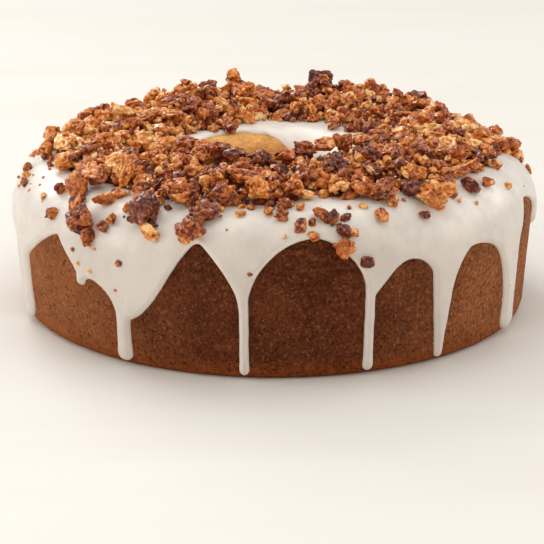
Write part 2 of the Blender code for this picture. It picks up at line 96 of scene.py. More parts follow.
class Expr:
    """A node's output that takes part in Python arithmetic: each operator adds a Math node."""

    def __init__(self, graph: "Graph", socket: bpy.types.NodeSocket) -> None:
        """Wrap an output socket of a graph."""
        self.graph = graph
        self.socket = socket

    def math(self, operation: str, *others: "Expr | float") -> "Expr":
        """A Math node on this value and up to two others."""
        return self.graph.node("ShaderNodeMath", {"operation": operation}, dict(enumerate((self, *others))))

    def __add__(self, other: "Expr | float") -> "Expr":
        """This value plus another."""
        return self.math("ADD", other)

    __radd__ = __add__

    def __mul__(self, other: "Expr | float") -> "Expr":
        """This value times another."""
        return self.math("MULTIPLY", other)

    __rmul__ = __mul__

    def __sub__(self, other: "Expr | float") -> "Expr":
        """This value less another."""
        return self.math("SUBTRACT", other)

    def __rsub__(self, other: float) -> "Expr":
        """A number less this value."""
        return (self * -1.0) + other

    def __truediv__(self, other: "Expr | float") -> "Expr":
        """This value divided by another."""
        return self.math("DIVIDE", other)

    def __pow__(self, other: float) -> "Expr":
        """This value to a power."""
        return self.math("POWER", other)

    def least(self, other: "Expr | float") -> "Expr":
        """The smaller of this value and another."""
        return self.math("MINIMUM", other)

    def most(self, other: "Expr | float") -> "Expr":
        """The larger of this value and another."""
        return self.math("MAXIMUM", other)

    def step(self, start: float, end: float) -> "Expr":
        """A smooth step: 0 at the start value, 1 at the end value, which may be the lower one.

        Args:
            start: the value that gives 0.
            end: the value that gives 1.

        Returns:
            The step's value.
        """
        low, high, first, last = (start, end, 0.0, 1.0) if start < end else (end, start, 1.0, 0.0)
        settings = {"interpolation_type": "SMOOTHSTEP"}
        inputs = {"Value": self, "From Min": low, "From Max": high, "To Min": first, "To Max": last}
        return self.graph.node("ShaderNodeMapRange", settings, inputs)

    def scaled(self, low: float, high: float, to_low: float, to_high: float) -> "Expr":
        """This value moved from one range to another, in a straight line and clamped."""
        inputs = {"Value": self, "From Min": low, "From Max": high, "To Min": to_low, "To Max": to_high}
        return self.graph.node("ShaderNodeMapRange", {}, inputs)


Input = Expr | float | int | str | bool | Sequence[float] | Any


class Graph:
    """A node tree under construction, of a material or of a Geometry Nodes group."""

    def __init__(self, tree: bpy.types.NodeTree) -> None:
        """Work on a tree."""
        self.tree = tree

    def feed(self, socket: bpy.types.NodeSocket, value: Input) -> None:
        """Link a value to an input socket, or set the socket's own number, colour, vector or text.

        Args:
            socket: the input.
            value: a link, or what the socket holds.
        """
        if isinstance(value, Expr):
            self.tree.links.new(value.socket, socket)
        elif socket.type == "RGBA" and len(value) == 3:
            socket.default_value = (*value, 1.0)
        else:
            socket.default_value = value

    def node(self, kind: str, settings: Mapping[str, Any] | None = None,
             inputs: Mapping[Any, Input] | None = None, output: int | str = 0) -> Expr:
        """Add a node of any type.

        Args:
            kind: the node's type.
            settings: its properties, set before its sockets; "stops" holds a ramp's (place, colour) pairs.
            inputs: values or links of its input sockets, by name or number.
            output: the socket wanted, by name or number.

        Returns:
            The wanted output.
        """
        made = self.tree.nodes.new(kind)
        for name, value in (settings or {}).items():
            if name == "stops":
                self._set_stops(made.color_ramp, value)
            else:
                setattr(made, name, value)
        for key, value in (inputs or {}).items():
            self.feed(made.inputs[key], value)
        return Expr(self, made.outputs[output])

    @staticmethod
    def _set_stops(ramp: bpy.types.ColorRamp, stops: Sequence[tuple[float, Colour]]) -> None:
        """Give a colour ramp its stops.

        Args:
            ramp: the ramp.
            stops: its (place, colour) pairs, in order.
        """
        while len(ramp.elements) < len(stops):
            ramp.elements.new(1.0)
        for element, (place, colour) in zip(ramp.elements, stops):
            element.position = place
            element.color = (*colour, 1.0)

    def noise(self, where: Expr, size: float, detail: float = 2.0, roughness: float = 0.5) -> Expr:
        """A noise value from 0 to 1 whose features have a size in metres."""
        inputs = {"Vector": where, "Scale": 1.0 / size, "Detail": detail, "Roughness": roughness}
        return self.node("ShaderNodeTexNoise", {"noise_dimensions": "3D"}, inputs)

    def cells(self, where: Expr, size: float) -> Expr:
        """The distance to the nearest of some scattered seeds that lie a size apart, in sizes."""
        return self.node("ShaderNodeTexVoronoi", {}, {"Vector": where, "Scale": 1.0 / size})

    def stretch(self, where: Expr, by: Sequence[float]) -> Expr:
        """A vector multiplied by another, part by part."""
        return self.node("ShaderNodeVectorMath", {"operation": "MULTIPLY"}, {0: where, 1: by})

    def along(self, direction: Expr, length: Expr | float) -> Expr:
        """A direction scaled by a length."""
        inputs = {"Vector": direction, "Scale": length}
        return self.node("ShaderNodeVectorMath", {"operation": "SCALE"}, inputs)

    def blend(self, factor: Expr | float, first: Expr | Colour, second: Expr | Colour) -> Expr:
        """A colour between two others, the first where the factor is 0 and the second where it is 1."""
        return self.node("ShaderNodeMix", {"data_type": "RGBA"}, {0: factor, 6: first, 7: second}, 2)


class Surface(Graph):
    """A material under construction, round one Principled BSDF."""

    def __init__(self, name: str) -> None:
        """Start a material.

        Args:
            name: the material's name.
        """
        self.material = bpy.data.materials.new(name)
        self.material.use_nodes = True
        super().__init__(self.material.node_tree)
        self.shader = self.tree.nodes["Principled BSDF"]

    def place(self) -> Expr:
        """A point's place in the cake's own frame."""
        return self.node("ShaderNodeTexCoord", output="Object")

    def split(self, vector: Expr) -> tuple[Expr, Expr, Expr]:
        """Take a vector apart.

        Args:
            vector: what to split.

        Returns:
            Its three parts.
        """
        made = self.tree.nodes.new("ShaderNodeSeparateXYZ")
        self.feed(made.inputs[0], vector)
        return Expr(self, made.outputs[0]), Expr(self, made.outputs[1]), Expr(self, made.outputs[2])

    def attribute(self, name: str) -> Expr:
        """A number that the mesh carries."""
        return self.node("ShaderNodeAttribute", {"attribute_name": name}, output="Fac")

    def bump(self, height: Expr, depth: float, strength: float = 1.0) -> None:
        """Raise the surface by a height from 0 to 1, over a depth in metres."""
        inputs = {"Height": height, "Distance": depth, "Strength": strength}
        self.feed(self.shader.inputs["Normal"], self.node("ShaderNodeBump", {}, inputs))

    def finish(self, **sockets: Input) -> bpy.types.Material:
        """Set the shader's sockets and hand the material over.

        Args:
            sockets: values or links, by the socket's name with its spaces written as underscores.

        Returns:
            The material.
        """
        for name, value in sockets.items():
            self.feed(self.shader.inputs[name.replace("_", " ")], value)
        return self.material


class Former(Graph):
    """A Geometry Nodes group under construction: mesh in, plain mesh with a finish out."""

    SOCKETS = {"length": "NodeSocketFloat", "count": "NodeSocketInt", "kinds": "NodeSocketCollection",
               "finish": "NodeSocketMaterial"}

    def __init__(self, name: str) -> None:
        """Start a group, with its geometry sockets.

        Args:
            name: the group's name.
        """
        super().__init__(bpy.data.node_groups.new(name, "GeometryNodeTree"))
        face = self.tree.interface
        face.new_socket("Geometry", in_out="INPUT", socket_type="NodeSocketGeometry")
        face.new_socket("Geometry", in_out="OUTPUT", socket_type="NodeSocketGeometry")
        self.source = self.tree.nodes.new("NodeGroupInput")
        self.result = self.tree.nodes.new("NodeGroupOutput")
        self.values: dict[str, Any] = {}

    def geometry(self) -> Expr:
        """The mesh that comes in."""
        return Expr(self, self.source.outputs[0])

    def value(self, name: str, kind: str, setting: Any) -> Expr:
        """Add a named input and remember its setting.

        Args:
            name: the input's name.
            kind: length, count, kinds or finish.
            setting: what the modifier sets it to.

        Returns:
            The input, for use in the tree.
        """
        made = self.tree.interface.new_socket(name, in_out="INPUT", socket_type=self.SOCKETS[kind])
        self.values[made.identifier] = setting
        return Expr(self, self.source.outputs[name])

    def read(self, name: str, kind: str = "FLOAT") -> Expr:
        """A value that the mesh carries."""
        return self.node("GeometryNodeInputNamedAttribute", {"data_type": kind}, {"Name": name})

    def keep(self, geometry: Expr, name: str, value: Expr) -> Expr:
        """Store a number on the mesh's points."""
        inputs = {"Geometry": geometry, "Name": name, "Value": value}
        return self.node("GeometryNodeStoreNamedAttribute", {"data_type": "FLOAT", "domain": "POINT"}, inputs)

    def close(self, geometry: Expr, finish: bpy.types.Material) -> None:
        """End the tree: instances made real, and the finish set.

        Args:
            geometry: what comes out.
            finish: its material.
        """
        real = self.node("GeometryNodeRealizeInstances", {}, {"Geometry": geometry})
        dressed = self.node("GeometryNodeSetMaterial", {},
                            {"Geometry": real, "Material": self.value("Finish", "finish", finish)})
        self.feed(self.result.inputs[0], dressed)

    def apply(self, base: bpy.types.Object) -> bpy.types.Object:
        """Run the group on an object and leave the result as its plain mesh.

        Args:
            base: the object whose mesh goes in.

        Returns:
            The same object, with its new mesh and no modifier.
        """
        modifier = base.modifiers.new("form", "NODES")
        modifier.node_group = self.tree
        for identifier, setting in self.values.items():
            modifier[identifier] = setting
        bpy.context.view_layer.update()
        graph = bpy.context.evaluated_depsgraph_get()
        mesh = bpy.data.meshes.new_from_object(base.evaluated_get(graph), depsgraph=graph)
        base.modifiers.remove(modifier)
        base.data = mesh
        return base


def new_object(name: str, points: Array | Sequence, faces: Iterable[Sequence[int]]) -> bpy.types.Object:
    """Put a new object in the scene.

    Args:
        name: its name.
        points: its points.
        faces: the numbers of each face's points.

    Returns:
        The object.
    """
    mesh = bpy.data.meshes.new(name)
    mesh.from_pydata(np.asarray(points).tolist(), [], faces)
    made = bpy.data.objects.new(name, mesh)
    bpy.context.scene.collection.objects.link(made)
    return made


def carry(made: bpy.types.Object, name: str, values: Array) -> None:
    """Store a number or a vector for each of an object's points.

    Args:
        made: the object.
        name: what the values are stored as.
        values: one number or vector for each point.
    """
    kind, key = ("FLOAT", "value") if np.ndim(values) == 1 else ("FLOAT_VECTOR", "vector")
    store = made.data.attributes.new(name, kind, "POINT")
    store.data.foreach_set(key, np.asarray(values, np.float32).ravel())


def report(piece: bpy.types.Object, slot: Slot, *parts: Part) -> None:
    """Let a finished piece ride on the cake and stand for its solids, and log its size.

    Args:
        piece: the piece.
        slot: its material slot, which is not used.
        parts: the solids that it stands for.
    """
    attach(piece, BODY)
    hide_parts(*(part.value for part in parts))
    triangles = sum(len(face.vertices) - 2 for face in piece.data.polygons)
    LOG.info("%s: %d triangles", piece.name, triangles)


@dataclass(frozen=True)
class CakeShape:
    """The baked ring's half section, and how far the bake is out of true.

    A wave round the cake is (count, size, shift), and its size is a share of the radius or the height.
    """

    base_radius: float = 119.5 * MM
    foot_out: float = 4.5 * MM
    foot_rise: float = 7.5 * MM
    widest_radius: float = 127.0 * MM
    shoulder: float = 24.0 * MM
    top_height: float = 74.0 * MM
    rim_out: float = 16.0 * MM
    rim_drop: float = 15.0 * MM
    hole_top_radius: float = 29.0 * MM
    hole_base_radius: float = 34.0 * MM
    hole_lip: float = 5.0 * MM
    lean: float = 0.028
    swells: tuple[Wave, ...] = ((3, 0.0035, 1.0), (5, 0.0025, 2.6))
    humps: tuple[Wave, ...] = ((2, 0.0040, 0.4), (5, 0.0035, 1.9))

    def half_section(self, steps: int = 24) -> Array:
        """The half section, from the outer foot over the top to the bottom of the hole.

        Args:
            steps: how many steps the smaller quarter rounds have.

        Returns:
            Points, as (radius, height).
        """
        hole_foot = (self.hole_lip, self.hole_lip)
        quarters = (
            ((self.base_radius, self.foot_rise), (self.foot_out, self.foot_rise), -90, steps),
            ((self.widest_radius - self.shoulder, self.top_height - self.shoulder),
             (self.shoulder, self.shoulder), 0, 2 * steps),
            ((self.hole_top_radius + self.rim_out, self.top_height - self.rim_drop),
             (self.rim_out, self.rim_drop), 90, 2 * steps),
            ((self.hole_base_radius + self.hole_lip, self.hole_lip), hole_foot, 180, steps),
        )
        points = []
        for centre, radii, start, count in quarters:
            turn = np.radians(np.linspace(start, start + 90, count + 1))
            points.append(np.stack([centre[0] + radii[0] * np.cos(turn),
                                    centre[1] + radii[1] * np.sin(turn)], axis=1))
        return np.concatenate(points)


def degrees_off(turn: Array, middle: float) -> Array:
    """How many degrees some angles lie off a middle one, the short way round."""
    return (np.degrees(turn) - middle + 180.0) % 360.0 - 180.0


def waves(turn: Array, terms: Iterable[Wave]) -> Array:
    """The sum of some waves round the cake, each given as (count, size, shift)."""
    return sum(size * np.sin(count * turn + shift) for count, size, shift in terms)


class Skin:
    """The cake's surface, looked up by angle, distance along the half section and lift."""

    def __init__(self, shape: CakeShape) -> None:
        """Measure a cake's half section.

        Args:
            shape: the cake's shape.
        """
        self.shape = shape
        points = shape.half_section()
        gaps = np.hypot(*np.diff(points, axis=0).T)
        self.distance = np.concatenate([[0.0], np.cumsum(gaps)])
        self.radius, self.height = points.T
        tangent = np.gradient(points, self.distance, axis=0)
        tangent /= np.linalg.norm(tangent, axis=1)[:, None]
        self.out, self.up = tangent[:, 1], -tangent[:, 0]
        self.top_start = self.distance[np.argmax(self.height > shape.top_height - 1e-9)]
        flat = np.concatenate([[0.0], np.cumsum(gaps / (self.radius[1:] + self.radius[:-1]) * 2)])
        self.flat_radius = np.exp(flat[-1] - flat)

    def read(self, along: Array, values: Array) -> Array:
        """One of the half section's measures at some distances along it."""
        return np.interp(along, self.distance, values)

    def normal(self, turn: Array, along: Array) -> Array:
        """The direction out of the skin."""
        out, up = self.read(along, self.out), self.read(along, self.up)
        return np.stack([out * np.sin(turn), -out * np.cos(turn), up + 0.0 * turn], axis=-1)

    def point(self, turn: Array, along: Array, lift: Array | float = 0.0) -> Array:
        """Places on the skin, or lifted off it.

        Args:
            turn: angles round the cake.
            along: distances along the skin.
            lift: heights above the skin.

        Returns:
            An array of points.
        """
        shape = self.shape
        radius = self.read(along, self.radius) * (1 + waves(turn, shape.swells))
        height = self.read(along, self.height) * (1 + shape.lean * np.sin(turn) + waves(turn, shape.humps))
        on_skin = np.stack([radius * np.sin(turn), -radius * np.cos(turn), height], axis=-1)
        return on_skin + np.asarray(lift)[..., None] * self.normal(turn, along)

    def at_height(self, turn: Array, height: Array) -> Array:
        """How far along the skin its outer side reaches a height.

        Args:
            turn: angles round the cake.
            height: heights above the table.

        Returns:
            Distances along the skin.
        """
        outer = self.distance <= self.top_start
        lean = 1 + self.shape.lean * np.sin(turn)
        return np.interp(height / lean, self.height[outer], self.distance[outer])

    def at_radius(self, radius: Array | float) -> Array:
        """How far along the skin its shoulder or top reaches a radius.

        Args:
            radius: distances from the middle of the cake.

        Returns:
            Distances along the skin.
        """
        shape = self.shape
        above_side = self.height > shape.top_height - shape.shoulder
        upper = above_side & (self.radius > shape.hole_top_radius + 1e-6)
        return np.interp(-np.asarray(radius), -self.radius[upper], self.distance[upper])

    def flattened(self, turn: Array, along: Array) -> Array:
        """Places laid out flat round the hole, which keeps their angles true."""
        reach = self.read(along, self.flat_radius)
        return np.stack([reach * np.sin(turn), -reach * np.cos(turn)], axis=-1)


@dataclass(frozen=True)
class CrustFinish:
    """Baked crust: brown and densely pored on the side, golden in the hole, rusty at the crumbly foot."""

    dark: Colour = (0.052, 0.0115, 0.0038)
    brown: Colour = (0.150, 0.040, 0.0145)
    # flank colour: partly an uneven bake, partly painted sheen of the light grazing the flanks
    flank_bake_and_sheen: Colour = (0.38, 0.135, 0.048)
    crumb: Colour = (0.55, 0.235, 0.105)
    # near-black painted shade for the pores and creases
    pit: Colour = (0.020, 0.0045, 0.0015)
    golden: Colour = (0.90, 0.475, 0.155)
    toasted: Colour = (0.62, 0.22, 0.055)
    rusty: Colour = (0.27, 0.066, 0.013)
    # pale sugar specks, partly painted glints
    sugar: Colour = (0.60, 0.46, 0.36)
    roughness: float = 0.76
    pore_size: float = 1.35 * MM
    crumb_size: float = 1.5 * MM
    crumb_right: tuple[float, float] = (-40 * MM, 60 * MM)
    creased: tuple[float, float] = (40 * MM, 56 * MM)
    foot: tuple[float, float] = (2.0 * MM, 10.0 * MM)
    toasted_rim: tuple[float, float] = (72 * MM, 64 * MM)
    hole_reach: tuple[float, float] = (54 * MM, 47 * MM)
    pored_foot: tuple[float, float] = (36 * MM, 12 * MM)
    relief_depth: float = 0.5 * MM

    def build(self) -> bpy.types.Material:
        """Make the material.

        Returns:
            The material, which reads the mesh's "pit".
        """
        surface = Surface("crust")
        place = surface.place()
        x, y, z = surface.split(place)
        reach = (x * x + y * y) ** 0.5
        broad = surface.noise(place, 20 * MM, 3)
        mottle = surface.noise(place, 3.4 * MM, 4, 0.65)
        grain = surface.noise(place, 1.25 * MM, 3, 0.6)
        wrinkle = surface.noise(surface.stretch(place, WRINKLE_STRETCH), 2.2 * MM, 3)
        tone = (broad * 0.40 + mottle * 0.30 + grain * 0.40).step(0.38, 0.72)
        side = surface.blend(tone, self.dark, self.brown)
        # Lighter towards the left and right flanks: partly an uneven bake, partly painted sheen of the light
        # that grazes them.
        flank = (x.math("ABSOLUTE") / reach).step(0.22, 1.02)
        side = surface.blend(flank * (tone * 0.5 + 0.5) * 0.95, side, self.flank_bake_and_sheen)
        coarse = surface.noise(surface.stretch(place, (1.0, 1.0, 0.85)), self.crumb_size, 3, 0.62)
        rough = flank * x.step(*self.crumb_right) * 0.60 + 0.34
        side = surface.blend(coarse.step(0.49, 0.36) * rough * 0.60, side, self.dark)
        side = surface.blend(coarse.step(0.53, 0.68) * rough * 0.50, side, self.crumb)
        # Painted shade in the wrinkles' creases.
        crease = wrinkle.step(0.50, 0.64) * z.step(*self.creased)
        side = surface.blend(crease * 0.40, side, self.pit)
        foot = z.scaled(*self.foot, 1.0, 0.0) * mottle.step(0.26, 0.60)
        side = surface.blend(foot * 0.85, side, self.rusty)
        inner_tone = surface.noise(place, 6.0 * MM, 3).scaled(0.3, 0.7, 0.0, 0.42)
        inner = surface.blend(inner_tone, self.golden, self.brown)
        toast = z.step(*self.toasted_rim) * broad.step(0.35, 0.65)
        inner = surface.blend(toast * 0.6, inner, self.toasted)
        in_hole = (reach + mottle * 6 * MM).step(*self.hole_reach)
        colour = surface.blend(in_hole, side, inner)
        # Painted shade in the pores, both the relief's pits and speckled ones, weaker in the hole.
        pit = surface.attribute("pit")
        speck = surface.cells(place, self.pore_size)
        pore = speck.step(0.44, 0.14) * surface.noise(place, 3.2 * MM, 2).step(0.38, 0.58)
        shown_pore = pore * (z.step(*self.pored_foot) * 0.3 + 0.6)
        sunk = (pit * 0.9 + shown_pore).least(1.0) * (1.0 - in_hole * 0.75)
        colour = surface.blend(sunk * 0.85, colour, self.pit)
        # Sparse pale sugar specks, partly painted glints.
        sugared = surface.noise(place, 13 * MM, 1).step(0.62, 0.70)
        glint = surface.cells(place, 1.5 * MM).step(0.17, 0.08) * sugared
        colour = surface.blend(glint * 0.5, colour, self.sugar)
        relief = mottle * 0.45 + grain * 0.45 + coarse * rough * 0.8 - pore * 0.9 - crease * 0.4
        surface.bump(relief, self.relief_depth, 0.9)
        return surface.finish(Base_Color=colour, Roughness=self.roughness, Specular_IOR_Level=0.06)


@dataclass
class Crust:
    """The baked ring, in one closed mesh: close rows where it shows, wide ones under the glaze."""

    skin: Skin
    finish: CrustFinish = field(default_factory=CrustFinish)
    outer_columns: int = 840
    inner_columns: int = 280
    shown_row: float = 0.95 * MM
    hidden_row: float = 4.5 * MM
    hole_row: float = 1.15 * MM
    side_top: float = 67.0 * MM
    join_radius: float = 92.0 * MM
    bare_rim_radius: float = 52.0 * MM
    undulation: float = 0.35 * MM
    pit_depth: float = 0.50 * MM
    grain_depth: float = 0.30 * MM
    wrinkle_depth: float = 0.45 * MM
    crumble_depth: float = 0.9 * MM
    wrinkle_top: tuple[float, float] = (72 * MM, 66 * MM)
    wrinkle_foot: tuple[float, float] = (40 * MM, 56 * MM)
    crumbly: tuple[float, float] = (8.5 * MM, 2.0 * MM)
    flat_foot: tuple[float, float] = (0.0, 1.2 * MM)

    def rows(self) -> tuple[Array, Array]:
        """Space out the rows: close where the crust shows, wide under the glaze.

        Returns:
            Distances along the skin, of the outer grid's rows and of the inner grid's.
        """
        join, rim = self.skin.at_radius(self.join_radius), self.skin.at_radius(self.bare_rim_radius)
        end = self.skin.distance[-1]
        stretches = ((0.0, self.side_top, self.shown_row), (self.side_top, join, self.hidden_row),
                     (join, rim, self.hidden_row), (rim, end, self.hole_row))
        shown, hidden, top, hole = (np.linspace(a, b, round((b - a) / step) + 1) for a, b, step in stretches)
        return np.concatenate([shown, hidden[1:]]), np.concatenate([top[1:], hole[1:]])

    @staticmethod
    def grid_faces(start: int, columns: int, rows: int) -> list[tuple[int, ...]]:
        """Quads of a grid that closes round the cake, numbered row after row.

        Args:
            start: the number of its first point.
            columns: its points in a row.
            rows: its rows.

        Returns:
            The faces.
        """
        faces = []
        for row in range(rows - 1):
            here = start + row * columns
            above = here + columns
            faces += [(here + i, here + (i + 1) % columns, above + (i + 1) % columns, above + i)
                      for i in range(columns)]
        return faces

    @staticmethod
    def join_faces(fine: int, fine_count: int, coarse: int, coarse_count: int,
                   inwards: bool) -> list[tuple[int, ...]]:
        """Triangles between a fine ring and a coarse one, whose counts divide evenly.

        Args:
            fine: number of the fine ring's first point.
            fine_count: its points.
            coarse: number of the coarse ring's first point.
            coarse_count: its points.
            inwards: whether the coarse ring follows the fine one along the skin.

        Returns:
            The faces.
        """
        share = fine_count // coarse_count
        faces = []
        for c in range(coarse_count):
            here, after = coarse + c, coarse + (c + 1) % coarse_count
            for k in range(share):
                a, b = (fine + (c * share + k + i) % fine_count for i in (0, 1))
                faces.append((a, b, here))
            faces.append((fine + (c + 1) * share % fine_count, after, here))
        return faces if inwards else [face[::-1] for face in faces]

    def mesh(self) -> bpy.types.Object:
        """The smooth ring, before its relief.

        Returns:
            The ring.
        """
        outer, inner = self.rows()
        points = []
        for alongs, columns in ((outer, self.outer_columns), (inner, self.inner_columns)):
            turn = np.linspace(0, 2 * math.pi, columns, endpoint=False)
            turns, distances = np.meshgrid(turn, alongs)
            points.append(self.skin.point(turns, distances).reshape(-1, 3))
        start = len(points[0])
        last = start + (len(inner) - 1) * self.inner_columns
        faces = self.grid_faces(0, self.outer_columns, len(outer))
        faces += self.grid_faces(start, self.inner_columns, len(inner))
        fine_end = (len(outer) - 1) * self.outer_columns
        faces += self.join_faces(fine_end, self.outer_columns, start, self.inner_columns, True)
        faces += self.join_faces(0, self.outer_columns, last, self.inner_columns, False)
        made = new_object("crust", np.concatenate(points), faces)
        made.data.shade_smooth()
        return made

    def relief(self) -> Former:
        """The crust's relief: slow swells, pores, grain, wrinkles under the glaze and a crumbly foot.

        Returns:
            The group that raises it.
        """
        former = Former("crust_relief")
        place = former.node("GeometryNodeInputPosition")
        normal = former.node("GeometryNodeInputNormal")
        height = former.node("ShaderNodeSeparateXYZ", {}, {0: place}, 2)
        swell = former.noise(place, 26 * MM, 1) - 0.5
        grain = former.noise(place, 2.2 * MM, 3, 0.6) - 0.5
        patch = former.noise(place, 9 * MM, 2).step(0.30, 0.52)
        pore = former.cells(place, 2.6 * MM).step(0.36, 0.12)
        pore = pore * former.noise(place, 3.4 * MM, 1).step(0.42, 0.58) * patch
        wrinkle = former.noise(former.stretch(place, WRINKLE_STRETCH), 2.6 * MM, 2).step(0.42, 0.66)
        wrinkle = wrinkle * height.step(*self.wrinkle_foot) * height.step(*self.wrinkle_top)
        low = height.step(*self.crumbly)
        lump = former.noise(place, 3.6 * MM, 3, 0.7) - 0.55
        raised = height.step(*self.flat_foot)
        lift = (
            swell * former.value("Undulation", "length", self.undulation)
            + grain * former.value("Grain Depth", "length", self.grain_depth)
            - wrinkle * former.value("Wrinkle Depth", "length", self.wrinkle_depth)
            + lump * low * former.value("Crumble Depth", "length", self.crumble_depth)
            - pore * former.value("Pit Depth", "length", self.pit_depth)
        ) * raised
        moved = former.node("GeometryNodeSetPosition", {},
                            {"Geometry": former.geometry(), "Offset": former.along(normal, lift)})
        # The relief's pits are kept on the mesh for the painted shade in the pores.
        former.close(former.keep(moved, "pit", pore * raised), self.finish.build())
        return former

    def build(self) -> bpy.types.Object:
        """Make the crust and put it in the cake's place.

        Returns:
            The piece.
        """
        piece = self.relief().apply(self.mesh())
        report(piece, Slot.CRUST, Part.CAKE)
        return piece


@dataclass(frozen=True)
class Run:
    """A run of glaze down the side: degrees round the cake, and millimetres above the table."""

    left: float
    right: float
    tip: float
    neck_left: float
    neck_right: float
    tip_share: float = 1.0


@dataclass(frozen=True)
class Arch:
    """The bare arch after a run: its apex, and how each flank bends away from it.

    A flank is (crown, hug, flare): how far it stays level from the apex, how far it follows the run's
    edge upwards, and how far it leans off that edge, each as a share of the flank.
    """

    apex: float
    height: float
    left: tuple[float, float, float]
    right: tuple[float, float, float]


@dataclass(frozen=True)
class HoleRun:
    """A run of glaze into the hole: its middle and width in degrees, and its depth in millimetres."""

    middle: float
    width: float
    depth: float


@dataclass(frozen=True)
class Pour:
    """The glaze's outline: its runs and arches round the side, and its edge round the hole.

    Angles are in degrees, and lengths round the side are in millimetres.
    """

    front: tuple[tuple[Run, Arch], ...] = (
        (Run(-75.0, -67.6, 2.2, 40.0, 35.0), Arch(-51.8, 54.2, (0.10, 0.45, 0.35), (0.05, 0.40, 0.35))),
        (Run(-45.5, -43.2, 33.4, 40.0, 35.6), Arch(-41.6, 37.8, (0.30, 0.30, 0.0), (0.35, 0.55, 0.0))),
        (Run(-34.8, -31.2, 2.0, 24.0, 22.5), Arch(-15.6, 61.6, (0.22, 0.10, 0.42), (0.10, 0.55, 0.10))),
        (Run(-7.2, -5.2, 2.0, 33.0, 38.0), Arch(8.3, 64.2, (0.52, 0.55, 0.08), (0.50, 0.40, 0.05))),
        (Run(18.4, 20.6, 2.0, 42.0, 38.0), Arch(28.4, 52.3, (0.45, 0.40, 0.35), (0.60, 0.20, 0.0))),
        (Run(33.9, 39.4, 2.2, 44.0, 32.0, 0.35), Arch(44.6, 52.2, (0.30, 0.55, 0.12), (0.75, 0.55, 0.12))),
        (Run(59.0, 64.0, 2.2, 20.0, 40.0), Arch(69.5, 61.2, (0.35, 0.50, 0.0), (0.45, 0.50, 0.0))),
    )
    collar_radius: float = 45.5 * MM
    collar_waves: tuple[Wave, ...] = ((4, 1.6 * MM, 0.35),)
    hole_runs: tuple[HoleRun, ...] = (
        HoleRun(135.0, 62.0, 30.0), HoleRun(38.0, 30.0, 22.0), HoleRun(-52.0, 24.0, 26.0),
        HoleRun(-12.0, 16.0, 12.0), HoleRun(-165.5, 9.0, 3.5),
    )
    back_start: float = 84.0
    back_step: float = 22.4
    back_runs: int = 9
    back_short_every: int = 3
    back_half_widths: tuple[float, float] = (1.3, 2.6)
    back_tip: float = 2.2
    back_short_tips: tuple[float, float] = (26.0, 42.0)
    back_short_necks: tuple[float, float] = (5.0, 8.0)
    back_necks: tuple[float, float] = (26.0, 40.0)
    back_arch_heights: tuple[float, float] = (52.0, 62.0)
    back_bend: tuple[float, float, float] = (0.40, 0.45, 0.10)
    back_sway: float = 2.5
    neck_sway: float = 3.0
    apex_sway: float = 2.0
    back_seed: int = 11
    flank_points: int = 80
    neck_points: int = 60
    tip_points: int = 25
    collar_points: int = 4001
    side_radius: float = 127.0
    spacing: float = 0.55
    softening: float = 0.9
    bead: float = 0.12
    bead_height: float = 3.5
    ripple: float = 0.22
    ripple_length: float = 7.0
    ripple_foot: float = 6.0
    ripple_rise: float = 8.0

    def back(self) -> list[tuple[Run, Arch]]:
        """The runs and arches of the sides and back, with a short run among the long ones.

        Returns:
            Each run with the arch after it.
        """
        rng = random.Random(self.back_seed)
        pour = []
        for number in range(self.back_runs):
            sway = rng.uniform(-self.back_sway, self.back_sway)
            angle = self.back_start + self.back_step * number + sway
            short = number % self.back_short_every == 0
            half = rng.uniform(*self.back_half_widths)
            tip = rng.uniform(*self.back_short_tips) if short else self.back_tip
            neck = tip + rng.uniform(*self.back_short_necks) if short else rng.uniform(*self.back_necks)
            other_neck = neck + rng.uniform(-self.neck_sway, self.neck_sway)
            run = Run(angle - half, angle + half, tip, neck, other_neck)
            last = number == self.back_runs - 1
            next_angle = self.front[0][0].left + 360.0 if last else angle + self.back_step
            apex = (angle + next_angle) / 2 + rng.uniform(-self.apex_sway, self.apex_sway)
            height = rng.uniform(*self.back_arch_heights)
            pour.append((run, Arch(apex, height, self.back_bend, self.back_bend)))
        return pour

    def all_round(self) -> list[tuple[Run, Arch]]:
        """Every run with the arch at its right, right round the cake."""
        return list(self.front) + self.back()

    def flank(self, apex: Sequence[float], neck: Sequence[float], bend: Sequence[float]) -> Array:
        """The curve from an arch's apex down to a run's neck.

        Args:
            apex: the arch's highest point, as (angle, height).
            neck: where the run starts, as (angle, height).
            bend: the flank's (crown, hug, flare).

        Returns:
            Points from the apex to the neck, both included.
        """
        crown, hug, flare = bend
        across, drop = neck[0] - apex[0], apex[1] - neck[1]
        knots = np.array([apex, (apex[0] + crown * across, apex[1]),
                          (neck[0] - flare * across, neck[1] + hug * drop), neck])
        t = np.linspace(0, 1, self.flank_points)[:, None]
        return ((1 - t) ** 3 * knots[0] + 3 * t * (1 - t) ** 2 * knots[1]
                + 3 * t * t * (1 - t) * knots[2] + t ** 3 * knots[3])

    def hanging(self, run: Run) -> Array:
        """The hanging end of a run.

        Args:
            run: the run.

        Returns:
            Points from its left neck round its beaded tip to its right neck.
        """
        middle, half = (run.left + run.right) / 2, (run.right - run.left) / 2
        tip_half = half * run.tip_share
        rise = math.radians(tip_half) * self.side_radius
        edges = []
        for side, neck in ((-1, run.neck_left), (1, run.neck_right)):
            foot = min(run.tip + rise, neck - 1.0)
            height = np.linspace(foot, neck, self.neck_points)
            swell = 1 + self.bead * np.exp(-((height - foot) / self.bead_height) ** 2)
            width = (tip_half + (half - tip_half) * (height - foot) / (neck - foot)) * swell
            edges.append(np.stack([middle + side * width, height], axis=1))
        bend = np.radians(np.linspace(-90, 90, self.tip_points))[1:-1]
        tip = np.stack([middle + tip_half * (1 + self.bead) * np.sin(bend),
                        run.tip + rise * (1 - np.cos(bend))], axis=1)
        return np.concatenate([edges[0][::-1], tip, edges[1]])

